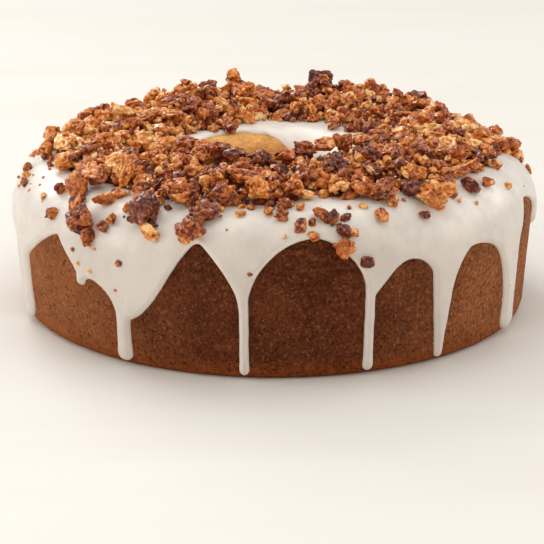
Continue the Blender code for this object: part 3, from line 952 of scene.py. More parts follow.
    def lower_edge(self, skin: Skin) -> Array:
        """The glaze's lower edge right round the cake.

        Args:
            skin: the cake's surface.

        Returns:
            Evenly spaced places on the skin.
        """
        pour = self.all_round()
        outline = []
        for number, (run, arch) in enumerate(pour):
            following = pour[(number + 1) % len(pour)][0]
            turn = 360.0 if number == len(pour) - 1 else 0.0
            apex = (arch.apex, arch.height)
            outline.append(self.hanging(run))
            outline.append(self.flank(apex, (run.right, run.neck_right), arch.left)[::-1][1:])
            next_neck = (following.left + turn, following.neck_left)
            outline.append(self.flank(apex, next_neck, arch.right)[1:-1])
        path = np.concatenate(outline)
        path[:, 0] = np.radians(path[:, 0]) * self.side_radius
        girth = 2 * math.pi * self.side_radius
        path = even_steps(np.vstack([path, path[:1] + (girth, 0.0)]), self.spacing)
        path = softened(path, girth, self.softening / self.spacing)
        around = np.arange(len(path)) * self.spacing / self.ripple_length
        seam = np.sin(math.pi * np.linspace(0, 1, len(path))) ** 0.1
        wander = np.array([noise.noise((a, 0.0, 3.0)) for a in around]) * seam
        ahead = np.roll(path, -1, axis=0) - np.roll(path, 1, axis=0)
        ahead[:, 0] = (ahead[:, 0] + girth / 2) % girth - girth / 2
        ahead /= np.linalg.norm(ahead, axis=1)[:, None]
        high = np.clip((path[:, 1] - self.ripple_foot) / self.ripple_rise, 0.0, 1.0)
        path += (wander * self.ripple * high)[:, None] * np.stack([-ahead[:, 1], ahead[:, 0]], axis=1)
        turn = path[:, 0] / self.side_radius
        return np.stack([turn, skin.at_height(turn, path[:, 1] * MM)], axis=1)

    def hole_edge(self, skin: Skin, turn: Array) -> Array:
        """How far along the skin the glaze reaches at the hole.

        Args:
            skin: the cake's surface.
            turn: angles round the cake.

        Returns:
            Distances along the skin.
        """
        reach = skin.at_radius(self.collar_radius) + waves(turn, self.collar_waves)
        for run in self.hole_runs:
            inside = np.clip(np.abs(degrees_off(turn, run.middle)) / run.width, 0.0, 1.0)
            reach = reach + run.depth * MM * (0.5 + 0.5 * np.cos(math.pi * inside)) ** 0.7
        return reach

    def upper_edge(self, skin: Skin) -> Array:
        """The glaze's edge round the hole.

        Args:
            skin: the cake's surface.

        Returns:
            Evenly spaced places on the skin.
        """
        turn = np.linspace(0, 2 * math.pi, self.collar_points)
        reach = self.hole_edge(skin, turn)
        radius = skin.read(reach, skin.radius)
        path = even_steps(np.stack([turn * radius.mean(), reach], axis=1) / MM, 1.4 * self.spacing)
        path *= MM
        turn = path[:, 0] / radius.mean()
        return np.stack([turn, self.hole_edge(skin, turn)], axis=1)


def even_steps(path: Array, step: float) -> Array:
    """A path's points set evenly.

    Args:
        path: its points.
        step: the gap wanted between two of them.

    Returns:
        The new points, without the path's last one.
    """
    gone = np.concatenate([[0.0], np.cumsum(np.hypot(*np.diff(path, axis=0).T))])
    count = round(gone[-1] / step)
    wanted = np.linspace(0, gone[-1], count, endpoint=False)
    return np.stack([np.interp(wanted, gone, column) for column in path.T], axis=1)


def softened(path: Array, girth: float, width: float) -> Array:
    """A closed path rounded off by a running average.

    Args:
        path: its points, whose first column grows by the girth in one round.
        girth: the length of one round.
        width: the average's spread, in points.

    Returns:
        The rounded points.
    """
    reach = int(3 * width)
    offsets = np.arange(-reach, reach + 1)
    weights = np.exp(-0.5 * (offsets / width) ** 2)
    weights /= weights.sum()
    count = len(path)
    total = np.zeros_like(path)
    for offset, weight in zip(offsets, weights):
        index = np.arange(count) + offset
        laps = index // count
        total += weight * (path[index % count] + np.stack([laps * girth, 0.0 * laps], axis=1))
    return total


class Border:
    """The glaze's two edges together, for telling how far inside them a place lies."""

    CLEAR_SHARE = 0.88

    def __init__(self, skin: Skin, lower: Array, upper: Array) -> None:
        """Measure both edges, each of which runs round the cake in step with the angle.

        Args:
            skin: the cake's surface.
            lower: the places of the edge down the side.
            upper: those of the edge round the hole.
        """
        self.loops = (lower, upper)
        self.places = np.vstack(self.loops)
        inwards, before, after, start = [], [], [], 0
        for loop, side in ((lower, 1.0), (upper, -1.0)):
            points = skin.point(loop[:, 0], loop[:, 1])
            ahead = np.roll(points, -1, axis=0) - np.roll(points, 1, axis=0)
            inward = side * np.cross(skin.normal(loop[:, 0], loop[:, 1]), ahead)
            inwards.append(inward / np.linalg.norm(inward, axis=1)[:, None])
            index = np.arange(len(loop))
            before.append(start + np.roll(index, 1))
            after.append(start + np.roll(index, -1))
            start += len(loop)
        self.points = skin.point(self.places[:, 0], self.places[:, 1])
        self.inward = np.vstack(inwards)
        self.before, self.after = np.concatenate(before), np.concatenate(after)
        self.tree = kdtree.KDTree(len(self.points))
        for number, point in enumerate(self.points):
            self.tree.insert(point, number)
        self.tree.balance()

    def inside(self, points: Array) -> Array:
        """How far inside the edges some points lie.

        Args:
            points: the points.

        Returns:
            Their distances from the nearest edge, below 0 outside it.
        """
        nearest = np.array([self.tree.find(point)[1] for point in points])
        base = self.points[nearest]
        off = points - base
        best = np.linalg.norm(off, axis=1)
        for others in (self.before, self.after):
            span = self.points[others[nearest]] - base
            share = np.clip((off * span).sum(1) / (span * span).sum(1), 0.0, 1.0)
            best = np.minimum(best, np.linalg.norm(off - share[:, None] * span, axis=1))
        sign = np.where((off * self.inward[nearest]).sum(1) >= 0, 1.0, -1.0)
        return best * sign

    def rows(self, skin: Skin, gaps: Sequence[float]) -> Array:
        """Rows of places that follow the edges inside them, without those that another edge crowds.

        Args:
            skin: the cake's surface.
            gaps: each row's distance from the edge.

        Returns:
            The places on the skin.
        """
        found = []
        turn, along = self.places.T
        radius = skin.read(along, skin.radius)
        across_way = np.stack([np.cos(turn), np.sin(turn), 0.0 * turn], axis=1)
        up_way = np.cross(skin.normal(turn, along), across_way)
        across = (self.inward * across_way).sum(1)
        rise = (self.inward * up_way).sum(1)
        for number, gap in enumerate(gaps):
            moved = np.stack([turn + gap * across / radius, along + gap * rise], axis=1)
            every = 1 + (number > 1) + (number > 3)
            thinned = moved[number % 2::every]
            far = self.inside(skin.point(*thinned.T))
            found.append(thinned[far > self.CLEAR_SHARE * gap])
        return np.concatenate(found)


@dataclass(frozen=True)
class GlazeFinish:
    """Set sugar glaze: warm off-white, satin, a little see-through at its thin edges."""

    body: Colour = (0.77, 0.725, 0.66)
    shade: Colour = (0.64, 0.595, 0.545)
    # partly thin glaze over the crust, partly painted shade low on the side
    side: Colour = (0.60, 0.535, 0.485)
    # painted highlight along the glaze's lip
    rim: Colour = (0.94, 0.91, 0.865)
    stain: Colour = (0.62, 0.47, 0.33)
    roughness: tuple[float, float] = (0.26, 0.42)
    side_shade_heights: tuple[float, float] = (76 * MM, 56 * MM)
    rim_highlight_width: tuple[float, float] = (1.9 * MM, 0.8 * MM)
    stain_width: float = 0.4 * MM
    relief_depth: float = 0.5 * MM

    def build(self) -> bpy.types.Material:
        """Make the material.

        Returns:
            The material, which reads the mesh's "edge".
        """
        surface = Surface("glaze")
        place = surface.place()
        broad = surface.noise(place, 30 * MM, 2)
        cloud = surface.noise(place, 7 * MM, 3)
        colour = surface.blend((broad * 0.6 + cloud * 0.4).step(0.40, 0.66), self.body, self.shade)
        # Darker and warmer low on the side: partly thin glaze over the brown crust, partly painted shade of
        # the side glaze that faces down and out.
        low = surface.split(place)[2].step(*self.side_shade_heights)
        colour = surface.blend(low * 0.55, colour, self.side)
        edge = surface.attribute("edge")
        # Painted highlight along the lip, up to about 1.9 mm in from the edge, fainter low on the side.
        colour = surface.blend(edge.step(*self.rim_highlight_width) * (0.60 - low * 0.32), colour, self.rim)
        colour = surface.blend(edge.step(self.stain_width, 0.0) * 0.30, colour, self.stain)
        roughness = cloud.scaled(0.3, 0.7, *self.roughness)
        pin = surface.cells(place, 2.3 * MM).step(0.10, 0.04) * surface.noise(place, 9 * MM, 1).step(0.5, 0.6)
        fold = surface.noise(place, 14 * MM, 1)
        fine = surface.noise(place, 1.8 * MM, 2)
        relief = fold * 3.0 + cloud * 0.55 + fine * 0.10 - pin * 0.3
        surface.bump(relief, self.relief_depth, 0.6)
        return surface.finish(Base_Color=colour, Roughness=roughness, Specular_IOR_Level=0.5,
                              Subsurface_Weight=0.25, Subsurface_Radius=(0.0020, 0.0013, 0.0009),
                              Subsurface_Scale=1.0)


@dataclass
class GlazePour:
    """The poured glaze: thick over the top, with a rounded lip, and runs down the side and into the hole."""

    skin: Skin
    pour: Pour = field(default_factory=Pour)
    finish: GlazeFinish = field(default_factory=GlazeFinish)
    thickness: float = 1.65 * MM
    sunk_edge: float = 0.45 * MM
    lip_width: float = 2.1 * MM
    under_depth: float = 1.0 * MM
    rim_swell: float = 0.30 * MM
    stream_swell: float = 0.55 * MM
    waviness: float = 0.50 * MM
    stream_width: float = 4.6
    row_gaps: tuple[float, ...] = (0.3 * MM, 0.7 * MM, 1.2 * MM, 1.8 * MM, 2.6 * MM)
    fill_gap: float = 3.3 * MM
    under_coarseness: float = 2.0
    edge_reach: float = 20 * MM
    shoulder_radius: float = 112.0 * MM
    rim_radius: float = 58.0 * MM
    mouth_radius: float = 45.0 * MM

    def lattice(self, first: float, last: float, row_gap: float, point_gap: float) -> Array:
        """Places spread evenly over a stretch of the skin, in staggered rows.

        Args:
            first: the distance along the skin where it starts.
            last: the distance where it ends.
            row_gap: the gap between two rows.
            point_gap: the gap between two places in a row.

        Returns:
            The places on the skin.
        """
        rows = round((last - first) / row_gap)
        found = []
        for row in range(rows + 1):
            along = first + (last - first) * row / rows
            count = round(2 * math.pi * float(self.skin.read(along, self.skin.radius)) / point_gap)
            turn = 2 * math.pi * (np.arange(count) + 0.5 * (row % 2)) / count
            found.append(np.stack([turn, np.full(count, along)], axis=1))
        return np.concatenate(found)

    def filling(self, coarseness: float) -> Array:
        """Places spread over the cake wherever glaze may lie, closest on the side and round the hole.

        Args:
            coarseness: what the gaps are multiplied by.

        Returns:
            The places on the skin.
        """
        radii = (self.shoulder_radius, self.rim_radius, self.mouth_radius)
        shoulder, rim, mouth = (float(self.skin.at_radius(radius)) for radius in radii)
        bands = ((3.0 * MM, shoulder, 2.3 * MM, 2.5 * MM),
                 (shoulder + 4 * MM, rim, 4.2 * MM, 4.6 * MM),
                 (rim + 2 * MM, mouth + 36 * MM, 1.9 * MM, 2.1 * MM))
        return np.concatenate([self.lattice(start, end, row * coarseness, gap * coarseness)
                               for start, end, row, gap in bands])

    def triangles(self, border: Border, places: Array) -> list[tuple[int, ...]]:
        """Triangles over both edges and the places between them, found with the skin laid out flat.

        Args:
            border: the glaze's edges.
            places: the places between them.

        Returns:
            The faces, numbered over the edges' places and then these.
        """
        joined = np.vstack([border.places, places])
        flat = [Vector(pair) for pair in self.skin.flattened(*joined.T)]
        lower, upper = (len(loop) for loop in border.loops)
        edges = [(start + i, start + (i + 1) % count) for start, count in ((0, lower), (lower, upper))
                 for i in range(count)]
        coords, _, faces, origins, _, _ = delaunay_2d_cdt(flat, edges, [], 1, 1e-8)
        back = [origin[0] for origin in origins]
        corners = np.array([[back[i] for i in face] for face in faces])
        middle = np.array([coords[i] for i in range(len(coords))])[np.array(faces)].mean(axis=1)
        turn = np.arctan2(middle[:, 0], -middle[:, 1])
        limit = self.skin.read(self.pour.hole_edge(self.skin, turn), self.skin.flat_radius)
        round_hole = ((corners >= lower) & (corners < lower + upper)).all(axis=1)
        kept = corners[~((np.hypot(*middle.T) < limit) & round_hole)]
        return [tuple(face) for face in kept.tolist()]

    def stream(self, places: Array) -> Array:
        """How much each place lies in a stream that feeds a run.

        Args:
            places: places on the skin.

        Returns:
            A share for each, from 0 to 1.
        """
        turn, along = places.T
        amount = np.zeros(len(places))
        top = self.skin.top_start
        for run, _ in self.pour.all_round():
            off = degrees_off(turn, (run.left + run.right) / 2)
            near = np.exp(-(off / self.stream_width) ** 2)
            start = float(self.skin.at_height(0.0, min(run.neck_left, run.neck_right) * MM))
            fade = np.clip((top - along) / (top - start), 0.0, 1.0)
            amount = np.maximum(amount, near * fade ** 0.8)
        return amount

    def mesh(self) -> bpy.types.Object:
        """The glaze laid on the skin without its thickness.

        Returns:
            The glaze, which carries what its thickness follows.
        """
        lower, upper = self.pour.lower_edge(self.skin), self.pour.upper_edge(self.skin)
        border = Border(self.skin, lower, upper)
        rows = border.rows(self.skin, self.row_gaps)
        fill = self.filling(1.0)
        fill = fill[border.inside(self.skin.point(*fill.T)) > self.fill_gap]
        under = self.filling(self.under_coarseness)
        under = under[border.inside(self.skin.point(*under.T)) > self.fill_gap]
        shown = np.vstack([border.places, rows, fill])
        hidden = np.vstack([border.places, under])
        faces = self.triangles(border, np.vstack([rows, fill]))
        start = len(shown)
        faces += [tuple(start + i for i in reversed(face)) for face in self.triangles(border, under)]
        for first, count in ((0, len(lower)), (len(lower), len(upper))):
            ring = [(first + i, first + (i + 1) % count) for i in range(count)]
            faces += [(start + here, start + after, after, here) for here, after in ring]
        places = np.vstack([shown, hidden])
        points = self.skin.point(*places.T)
        made = new_object("glaze_pour", points, faces)
        carry(made, "edge", np.clip(border.inside(points), 0.0, self.edge_reach))
        carry(made, "out", self.skin.normal(*places.T))
        carry(made, "stream", self.stream(places))
        carry(made, "under", np.arange(len(places)) >= start)
        close_up(made)
        made.data.shade_smooth()
        return made

    def form(self) -> Former:
        """The glaze's thickness: round at the lip, raised behind it and in the streams, slightly wavy.

        Returns:
            The group that gives it.
        """
        former = Former("glaze_form")
        thickness = former.value("Thickness", "length", self.thickness)
        sunk = former.value("Sunk Edge", "length", self.sunk_edge)
        lip = former.value("Lip Width", "length", self.lip_width)
        edge = former.read("edge")
        left = 1.0 - (edge / lip).least(1.0)
        round_lip = (1.0 - left * left).most(0.0) ** 0.5
        behind = edge.step(0.6 * MM, 2.4 * MM) * edge.step(7.5 * MM, 2.6 * MM)
        wave = former.noise(former.node("GeometryNodeInputPosition"), 17 * MM, 2) - 0.5
        body = (thickness + behind * former.value("Rim Swell", "length", self.rim_swell)
                + former.read("stream") * edge.step(0.0, 3.0 * MM)
                * former.value("Stream Swell", "length", self.stream_swell)
                + wave * edge.step(0.0, 5.0 * MM) * former.value("Waviness", "length", self.waviness))
        shown = (body + sunk) * round_lip - sunk
        under = former.read("under")
        lift = shown * (1.0 - under) - under * former.value("Under Depth", "length", self.under_depth)
        offset = former.along(former.read("out", "FLOAT_VECTOR"), lift)
        moved = former.node("GeometryNodeSetPosition", {}, {"Geometry": former.geometry(), "Offset": offset})
        former.close(moved, self.finish.build())
        return former

    def build(self) -> bpy.types.Object:
        """Make the glaze and put it in the place of the solid one.

        Returns:
            The piece.
        """
        piece = self.form().apply(self.mesh())
        report(piece, Slot.GLAZE, Part.GLAZE)
        return piece


def close_up(made: bpy.types.Object) -> None:
    """Turn a closed mesh's faces outwards.

    Args:
        made: the object whose mesh it is.
    """
    shape = bmesh.new()
    shape.from_mesh(made.data)
    bmesh.ops.recalc_face_normals(shape, faces=shape.faces)
    shape.to_mesh(made.data)
    shape.free()


class Chop(Enum):
    """The sorts of candied nuts in the heap, from the largest to the finest."""

    PECAN = "pecan"
    CLUSTER = "cluster"
    CHUNK = "chunk"
    BIT = "bit"
    GRIT = "grit"


@dataclass(frozen=True)
class NutFinish:
    """Chopped nuts in caramel: dark skins, pale broken faces and amber sugar, glossy and crusted."""

    skin: Colour = (0.098, 0.020, 0.012)
    russet: Colour = (0.26, 0.054, 0.013)
    amber: Colour = (0.58, 0.160, 0.026)
    honey: Colour = (0.84, 0.345, 0.072)
    kernel: Colour = (0.96, 0.62, 0.27)
    roughness: tuple[float, float] = (0.30, 0.62)
    coat: tuple[float, float] = (0.0, 1.0)
    bead_size: float = 1.9 * MM
    relief_depth: float = 0.85 * MM

    def build(self) -> bpy.types.Material:
        """Make the material.

        Returns:
            The material, which reads the mesh's "tint" and "pale".
        """
        surface = Surface("candied_nut")
        place = surface.place()
        mottle = surface.noise(place, 2.6 * MM, 4, 0.62)
        patch = surface.noise(place, 28 * MM, 2)
        pale = surface.attribute("pale")
        bead = surface.cells(place, self.bead_size)
        crusted = surface.noise(place, 9 * MM, 2).step(0.40, 0.58)
        # Painted shade in the crevices between the sugar beads, painted light on their crowns.
        gap = bead.step(0.40, 0.78) * crusted
        crown = bead.step(0.36, 0.06) * crusted
        fleck = surface.noise(place, 1.3 * MM, 2, 0.6)
        # The mesh's pale value lightens broken faces and darkens furrows and bead crevices as painted shade.
        shift = mottle.scaled(0.25, 0.75, -0.26, 0.26) + patch.scaled(0.3, 0.7, -0.08, 0.08) + pale * 0.20
        shift = shift + fleck.scaled(0.3, 0.7, -0.10, 0.10)
        tone = surface.attribute("tint") * 0.78 + 0.155 + shift - gap * 0.34 + crown * 0.14
        stops = ((0.02, self.skin), (0.28, self.russet), (0.56, self.amber), (0.84, self.honey),
                 (1.0, self.kernel))
        colour = surface.node("ShaderNodeValToRGB", {"stops": stops}, {"Fac": tone})
        crystal = surface.cells(place, 0.9 * MM)
        fine = surface.noise(place, 0.8 * MM, 3, 0.7)
        # Pale sugar crystals, partly painted sparkle highlights.
        sugar = crystal.step(0.16, 0.05) * fine.step(0.56, 0.66)
        colour = surface.blend(sugar * 0.5, colour, self.kernel)
        roughness = fine.scaled(0.3, 0.7, *self.roughness)
        coat = mottle.scaled(0.35, 0.65, *self.coat)
        relief = mottle * 0.6 + fleck * 0.2 + fine * 0.45 + sugar * 0.4 - gap * 0.7
        surface.bump(relief, self.relief_depth)
        return surface.finish(Base_Color=colour, Roughness=roughness, Specular_IOR_Level=0.15,
                              Coat_Weight=coat, Coat_Roughness=0.06,
                              Subsurface_Weight=0.18, Subsurface_Radius=(0.0030, 0.0012, 0.0004),
                              Subsurface_Scale=1.0)


@dataclass(frozen=True)
class ChoppedNut:
    """The shapes of one sort of candied nut, each a unit long, wide and thick until it is laid down."""

    chop: Chop
    lengths: tuple[float, float]
    wide: tuple[float, float]
    thick: tuple[float, float]
    fineness: int
    shapes: int
    breaks: tuple[int, int] = (2, 4)
    lump: float = 0.45
    ridges: int = 0
    ridge_depth: float = 0.22
    beads: float = 0.0
    bead_depth: float = 0.30
    bend: float = 0.0
    crease: float = 36.0
    break_reach: tuple[float, float] = (0.46, 0.86)
    bead_spread: float = 0.8
    unevenness: float = 0.07

    def shape(self, rng: random.Random, number: int) -> bpy.types.Object:
        """One broken piece.

        Args:
            rng: the source of chance.
            number: its number among the shapes.

        Returns:
            The piece, which carries how "pale" it is: pale where broken, with painted shade in its furrows
            and between its beads.
        """
        shape = bmesh.new()
        bmesh.ops.create_icosphere(shape, subdivisions=self.fineness, radius=1.0)
        away = Vector([rng.uniform(0.0, 40.0) for _ in range(3)])
        planes = []
        for _ in range(rng.randint(*self.breaks)):
            facing = Vector([rng.gauss(0.0, 1.0) for _ in range(3)]).normalized()
            planes.append((facing, rng.uniform(*self.break_reach)))
        pale = []
        for vertex in shape.verts:
            way = vertex.co.normalized()
            swell = 1 + self.lump * noise.noise(way * 1.6 + away)
            around = math.atan2(way.z, way.y) + 0.5 * noise.noise(way * 2.0 - away)
            furrow = off = 0.0
            if self.ridges:
                furrow = (0.5 - 0.5 * math.cos(self.ridges * around)) ** 2 * (1 - way.x ** 4)
            if self.beads:
                off = min(noise.voronoi(way * self.beads + away)[0][0] / self.bead_spread, 1.0)
            gap = 1 - math.sqrt(1 - off * off)
            vertex.co = way * swell * (1 - self.ridge_depth * furrow - self.bead_depth * gap)
            # Painted shade in the furrows and bead crevices; broken faces are made pale below.
            pale_and_shade = -max(furrow, gap)
            for facing, reach in planes:
                over = vertex.co.dot(facing) - reach
                if over > 0:
                    vertex.co -= facing * over * 0.9
                    pale_and_shade = 1.0
            vertex.co += noise.noise_vector(vertex.co * 3.5 + away) * self.unevenness
            vertex.co.z += self.bend * (vertex.co.x ** 2 - 0.3)
            vertex.co *= 0.5
            pale.append(pale_and_shade)
        mesh = bpy.data.meshes.new(f"{self.chop.value}_{number:02d}")
        shape.to_mesh(mesh)
        shape.free()
        made = bpy.data.objects.new(mesh.name, mesh)
        carry(made, "pale", np.array(pale))
        mesh.shade_smooth()
        mesh.set_sharp_from_angle(angle=math.radians(self.crease))
        return made

    def collect(self, seed: int) -> bpy.types.Collection:
        """All the shapes of this sort.

        Args:
            seed: what fixes them.

        Returns:
            A collection outside the scene.
        """
        rng = random.Random(seed)
        noise.seed_set(seed)
        group = bpy.data.collections.new(f"{self.chop.value}_shapes")
        for number in range(self.shapes):
            group.objects.link(self.shape(rng, number))
        return group

    def measure(self, rng: random.Random, length: float | None = None) -> tuple[float, float, float]:
        """A length, width and thickness for one piece."""
        length = length or rng.uniform(*self.lengths)
        return length, length * rng.uniform(*self.wide), length * rng.uniform(*self.thick)


CHOPPED = {nut.chop: nut for nut in (
    ChoppedNut(Chop.PECAN, (13 * MM, 21 * MM), (0.40, 0.56), (0.32, 0.44), 4, 10, (1, 3), 0.42, 4, 0.30,
               bend=0.16),
    ChoppedNut(Chop.CLUSTER, (9 * MM, 16 * MM), (0.62, 0.95), (0.55, 0.80), 4, 10, (0, 2), 0.60,
               beads=4.0, bead_depth=0.24),
    ChoppedNut(Chop.CHUNK, (7 * MM, 12.5 * MM), (0.60, 0.95), (0.50, 0.80), 3, 24, (2, 4), 0.50, 3),
    ChoppedNut(Chop.BIT, (3.6 * MM, 7.0 * MM), (0.60, 0.95), (0.50, 0.85), 2, 20, (2, 3)),
    ChoppedNut(Chop.GRIT, (1.4 * MM, 3.2 * MM), (0.65, 1.0), (0.55, 0.95), 1, 8, (0, 1)),
)}


@dataclass
class NutBatch:
    """Candied nuts of one sort, each with its place, turn and measures."""

    chop: Chop
    places: list[Sequence[float]] = field(default_factory=list)
    turns: list[Sequence[float]] = field(default_factory=list)
    measures: list[Sequence[float]] = field(default_factory=list)
    tints: list[float] = field(default_factory=list)

    @staticmethod
    def turned(thin: Vector, ahead: Vector) -> Matrix:
        """How a nut is turned.

        Args:
            thin: the way that its thin side faces.
            ahead: the way that its length runs, as nearly as it can.

        Returns:
            The turn.
        """
        thin = thin.normalized()
        ahead = (ahead - thin * ahead.dot(thin)).normalized()
        return Matrix((ahead, thin.cross(ahead), thin)).transposed()

    @staticmethod
    def level(rng: random.Random) -> Vector:
        """Any level way."""
        spin = rng.uniform(0, math.pi)
        return Vector((math.cos(spin), math.sin(spin), 0.0))

    def add(self, place: Sequence[float], turn: Matrix, measure: Sequence[float], tint: float) -> None:
        """Lay one nut down.

        Args:
            place: where its middle is.
            turn: how it is turned.
            measure: its length, width and thickness.
            tint: how pale it is, from 0 to 1.
        """
        self.places.append(tuple(place))
        self.turns.append(tuple(turn.to_euler()))
        self.measures.append(tuple(measure))
        self.tints.append(tint)

    def build(self, name: str, finish: bpy.types.Material, seed: int) -> bpy.types.Object:
        """Turn the batch into one mesh.

        Args:
            name: the piece's name.
            finish: its material.
            seed: what fixes the shapes and the tints.

        Returns:
            The piece.
        """
        made = new_object(name, self.places, [])
        carry(made, "turn", np.array(self.turns))
        carry(made, "measure", np.array(self.measures))
        carry(made, "tint", np.array(self.tints))
        cut = CHOPPED[self.chop]
        shapes = cut.collect(seed)
        former = Former(name)
        kinds = former.value("Shapes", "kinds", shapes)
        seed_value = former.value("Seed", "count", seed)
        choice = former.node("FunctionNodeRandomValue", {"data_type": "FLOAT"},
                             {2: 0.0, 3: float(cut.shapes), "Seed": seed_value}, 1)
        info = former.node("GeometryNodeCollectionInfo", {},
                           {"Collection": kinds, "Separate Children": True, "Reset Children": True})
        turn = former.node("FunctionNodeEulerToRotation", {}, {"Euler": former.read("turn", "FLOAT_VECTOR")})
        laid = former.node("GeometryNodeInstanceOnPoints", {}, {
            "Points": former.geometry(), "Instance": info, "Pick Instance": True,
            "Instance Index": choice.math("FLOOR"), "Rotation": turn,
            "Scale": former.read("measure", "FLOAT_VECTOR")})
        former.close(laid, finish)
        former.apply(made)
        for shape in list(shapes.objects):
            bpy.data.objects.remove(shape)
        bpy.data.collections.remove(shapes)
        return made


class HeightMap:
    """Heights over the cake on a square grid, seen from above."""

    def __init__(self, half: float = 124 * MM, cell: float = 0.8 * MM) -> None:
        """Lay out a grid.

        Args:
            half: how far it reaches from the middle.
            cell: the gap between its points.
        """
        self.half, self.cell = half, cell
        self.count = round(2 * half / cell) + 1
        axis = np.linspace(-half, half, self.count)
        self.x, self.y = np.meshgrid(axis, axis, indexing="ij")

    def top_of(self, made: bpy.types.Object) -> Array:
        """The height of an object's top.

        Args:
            made: the object.

        Returns:
            A height for each of the map's points, or NaN where the object has none.
        """
        corners = [vertex.co for vertex in made.data.vertices]
        tree = BVHTree.FromPolygons(corners, [tuple(face.vertices) for face in made.data.polygons])
        down = Vector((0.0, 0.0, -1.0))
        found = np.full(self.x.shape, np.nan)
        for number, (x, y) in enumerate(zip(self.x.flat, self.y.flat)):
            hit = tree.ray_cast(Vector((x, y, 1.0)), down)[0]
            if hit is not None:
                found.flat[number] = hit.z
        return found

    def smoothed(self, heights: Array, width: float) -> Array:
        """Heights averaged over a width, with empty points left out of each average.

        Args:
            heights: the heights, NaN where there is none.
            width: the average's spread.

        Returns:
            The averages.
        """
        reach = int(2.5 * width / self.cell)
        weights = np.exp(-0.5 * (np.arange(-reach, reach + 1) * self.cell / width) ** 2)
        known = ~np.isnan(heights)
        total, share = np.where(known, heights, 0.0), known.astype(float)
        for axis in (0, 1):
            total = np.apply_along_axis(np.convolve, axis, total, weights, "same")
            share = np.apply_along_axis(np.convolve, axis, share, weights, "same")
        return np.where(share > 1e-9, total / np.maximum(share, 1e-9), np.nan)

    def at(self, heights: Array, x: Array, y: Array) -> Array:
        """Heights read between the grid's points.

        Args:
            heights: the heights at its points.
            x: the places' first coordinates.
            y: their second ones.

        Returns:
            A height for each place.
        """
        u = np.clip((x + self.half) / self.cell, 0, self.count - 1.001)
        v = np.clip((y + self.half) / self.cell, 0, self.count - 1.001)
        i, j = u.astype(int), v.astype(int)
        fu, fv = u - i, v - j
        near = heights[i, j] * (1 - fu) + heights[i + 1, j] * fu
        far = heights[i, j + 1] * (1 - fu) + heights[i + 1, j + 1] * fu
        return near * (1 - fv) + far * fv


def level_noise(x: Array, y: Array, per_metre: float, layer: float) -> Array:
    """Smooth chance over level places.

    Args:
        x: the places' first coordinates.
        y: their second ones.
        per_metre: how many bumps lie in a metre.
        layer: what sets one such chance apart from another.

    Returns:
        A value from -1 to 1 for each place.
    """
    found = [noise.noise((a * per_metre, b * per_metre, layer)) for a, b in zip(x.flat, y.flat)]
    return np.array(found).reshape(x.shape)


@dataclass(frozen=True)
class Helping:
    """A share of the nuts as they are dropped on.

    It gives their sort, how many they are at most, how far their tops may lie from the wanted top, how much
    room a place needs, and how much they tilt.
    """

    chop: Chop
    most: int
    proud: tuple[float, float]
    needed: float
    tilt: float


class NutShadow:
    """What one nut, taken as an egg shape, covers of a height map, and how high it lies there."""

    DEEPEST = 0.4

    def __init__(self, chart: HeightMap, i: int, j: int, spread: Array) -> None:
        """Measure the shadow.

        Args:
            chart: the map.
            i: the column of the point under the nut's middle.
            j: its row.
            spread: the egg shape's matrix.
        """
        k = int(math.sqrt(max(spread[0, 0], spread[1, 1])) / chart.cell) + 1
        self.window = (slice(max(i - k, 0), i + k + 1), slice(max(j - k, 0), j + k + 1))
        x, y = chart.x[self.window] - chart.x[i, j], chart.y[self.window] - chart.y[i, j]
        off = np.stack([x, y], axis=-1)
        inverse = np.linalg.inv(spread[:2, :2])
        inside = 1.0 - ((off @ inverse) * off).sum(axis=-1)
        self.depth = math.sqrt(spread[2, 2] - spread[2, :2] @ inverse @ spread[:2, 2])
        self.rise = math.sqrt(spread[2, 2])
        self.under = inside > 0
        self.level = off @ (inverse @ spread[:2, 2])
        self.cap = self.depth * np.sqrt(np.where(self.under, inside, 0.0))

    def resting(self, ground: Array, sink: float) -> float:
        """The height of the nut's middle when it rests on the ground, sunk in a little."""
        touching = (ground[self.window] - self.level + self.cap)[self.under].max()
        return touching - min(sink, self.DEEPEST * self.depth)

    def cover(self, ground: Array, middle: float) -> None:
        """Raise the ground to the top of the nut."""
        top = np.maximum(ground[self.window], middle + self.level + self.cap)
        ground[self.window] = np.where(self.under, top, ground[self.window])

    def settle(self, ground: Array, sink: float) -> float:
        """Lay the nut down and raise the ground to its top.

        Args:
            ground: the heights so far.
            sink: how far it sinks in.

        Returns:
            The height of its middle.
        """
        middle = self.resting(ground, sink)
        self.cover(ground, middle)
        return middle


class Pose(Enum):
    """How a nut that stands out of the heap lies."""

    UPRIGHT = "upright"
    ROUND = "round"


@dataclass(frozen=True)
class ProudNut:
    """A nut that stands out of the heap: degrees round the cake, and the rest in millimetres."""

    chop: Chop
    angle: float
    radius: float
    length: float
    top: float
    pose: Pose = Pose.ROUND
    tint: float = 0.45

    def place(self) -> tuple[float, float]:
        """Where it stands, seen from above."""
        turn = math.radians(self.angle)
        return self.radius * MM * math.sin(turn), -self.radius * MM * math.cos(turn)


